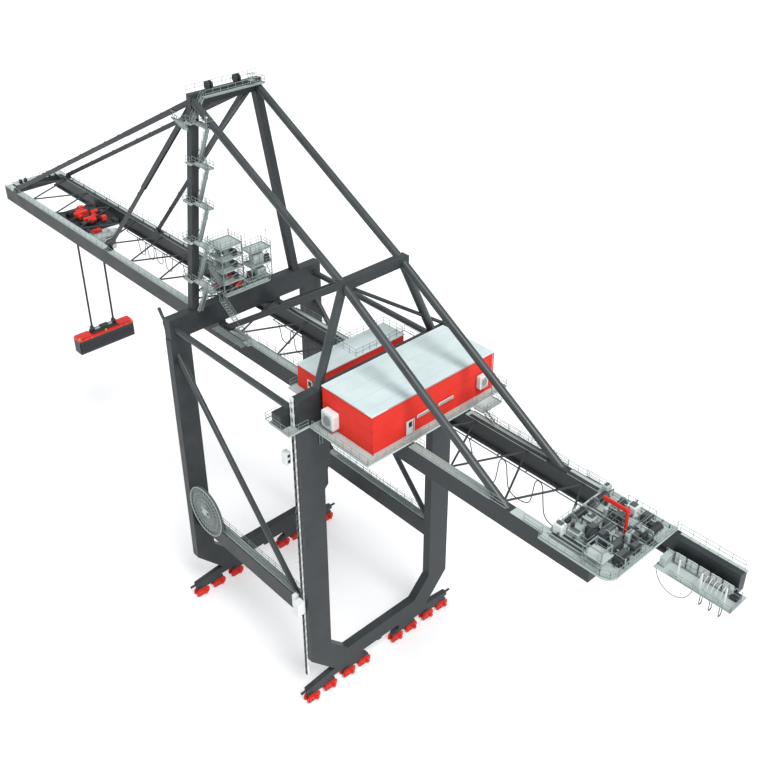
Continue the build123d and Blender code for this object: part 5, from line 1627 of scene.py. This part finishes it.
# %% [markdown]
# ## Lift
# A lift climbs the near landside leg on a toothed mast, between white gates at its landings. The
# mast's white edges and its blocks with dark gaps between them read as the rack. Modelling each
# tooth would take thousands of faces for a line a few pixels wide.

# %% Fit the lift's gates and its rack
rack_low, rack_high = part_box("lift_mast")
rack_pitch = 0.153
fittings = box((-2.43, 1.452, 4.60), (-2.33, 1.54, 4.80), "white_paint")
for square_z in (4.63, 4.72):
    fittings += box((-2.434, 1.47, square_z), (-2.429, 1.51, square_z + 0.045), "black_rubber")
fittings += box((rack_low[0] - 0.02, 1.452, 0.565), (rack_high[0] + 0.03, 1.474, 0.72), "white_paint")
fittings += box((-2.42, 1.452, 1.92), (-2.34, 1.53, 2.16), "white_paint")
fittings += box((-2.424, 1.47, 1.99), (-2.419, 1.51, 2.07), "black_rubber")
for foot_z, head_z in ((rack_low[2], rack_high[2]), (5.262, 5.66)):
    for edge_x in (rack_low[0], rack_high[0]):
        for edge_y in (rack_low[1] + 0.002, rack_high[1] - 0.008):
            fittings += bar((edge_x, edge_y, foot_z), (edge_x, edge_y, head_z), 0.005, 0.003,
                            "white_paint")
    for step in range(round((head_z - foot_z) / rack_pitch) + 1):
        block_z = foot_z + step * rack_pitch
        rack_block_low = (rack_low[0] - 0.006, rack_low[1] - 0.006, block_z)
        rack_block_high = (rack_high[0] + 0.006, rack_high[1], min(block_z + 0.055, head_z))
        fittings += box(rack_block_low, rack_block_high, "white_paint")
gather("lift_gates", "root", fittings)
print("lift has", len(fittings), "parts")

# %% [markdown]
# ## Lugs at the ends of the beams
# Lifting lugs are left on the beams from the day the crane was put up. Each is two or three
# thick plates, so a few flat bars between their corner points draw them.

# %% Set the lugs
lug_plates = (
    ((0.54, 1.42, 5.48), (0.66, 1.42, 5.62), 0.02, 0.016),
    ((0.64, 1.42, 5.60), (0.70, 1.42, 5.69), 0.024, 0.010),
    ((0.54, 1.42, 5.30), (0.60, 1.42, 5.50), 0.02, 0.010),
    ((-2.56, -1.40, 5.70), (-2.56, -1.34, 5.80), 0.03, 0.010),
    ((-2.56, -1.24, 5.70), (-2.56, -1.32, 5.80), 0.03, 0.010),
    ((-2.56, -1.36, 5.79), (-2.56, -1.28, 5.79), 0.03, 0.012),
)
lugs = []
for plate in lug_plates:
    lugs += bar(*plate, "slate_paint")
gather("beam_lugs", "root", lugs)
print("beams have", len(lugs), "lug plates")

# %% [markdown]
# ## Last rails and walks
# What is left are a short rail behind the houses, the gratings on the high portal ties with their
# rails, and a short ladder up to the gallery. They are small, so one piece holds them all.

# %% Lay the last walks
short_rail_z = grating_top + 0.002
small_rails = handrail([(-3.80, 0.47, short_rail_z), (-3.95, 0.47, short_rail_z)], pitch=0.08)
high_tie_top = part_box("portal_ties")[1][2] - 0.30
for tie_y, rail_y in ((-1.295, -1.335), (1.295, 1.335)):
    tie_low = (-2.30, tie_y - 0.05, high_tie_top)
    small_rails += box(tie_low, (0.10, tie_y + 0.05, high_tie_top + 0.006), "grating_paint")
    small_rails += handrail([(-1.95, rail_y, high_tie_top), (0.10, rail_y, high_tie_top)], pitch=0.2)
small_rails += ladder((-2.645, 1.10, 4.86), (-2.645, 1.10, 5.19), 0.05, (0, 1, 0))
gather("small_rails", "root", small_rails)
print("last walks have", len(small_rails), "members")

# %% [markdown]
# ## Guards of the bogies
# Low plates on both faces keep feet and stones away from the wheels, yellow on the waterside rail
# and red on the landside rail. They are let into the bogies' side plates, flush with them and
# behind the covers, so they show little.

# %% Guard the bogies
guard_sides = ((0.488, 0.062, 0.135, "yellow_paint"), (-2.56, 0.070, 0.130, "machine_red"))
guards = []
for place_y in bogie_places_y:
    for rail_x, low_z, high_z, finish in guard_sides:
        for guard_x in (rail_x - 0.046, rail_x + 0.046):
            guard_low = (guard_x - 0.003, place_y - 0.085, low_z)
            guards += box(guard_low, (guard_x + 0.003, place_y + 0.085, high_z), finish)
gather("bogie_guards", "root", guards)
print(len(guards), "guards set")
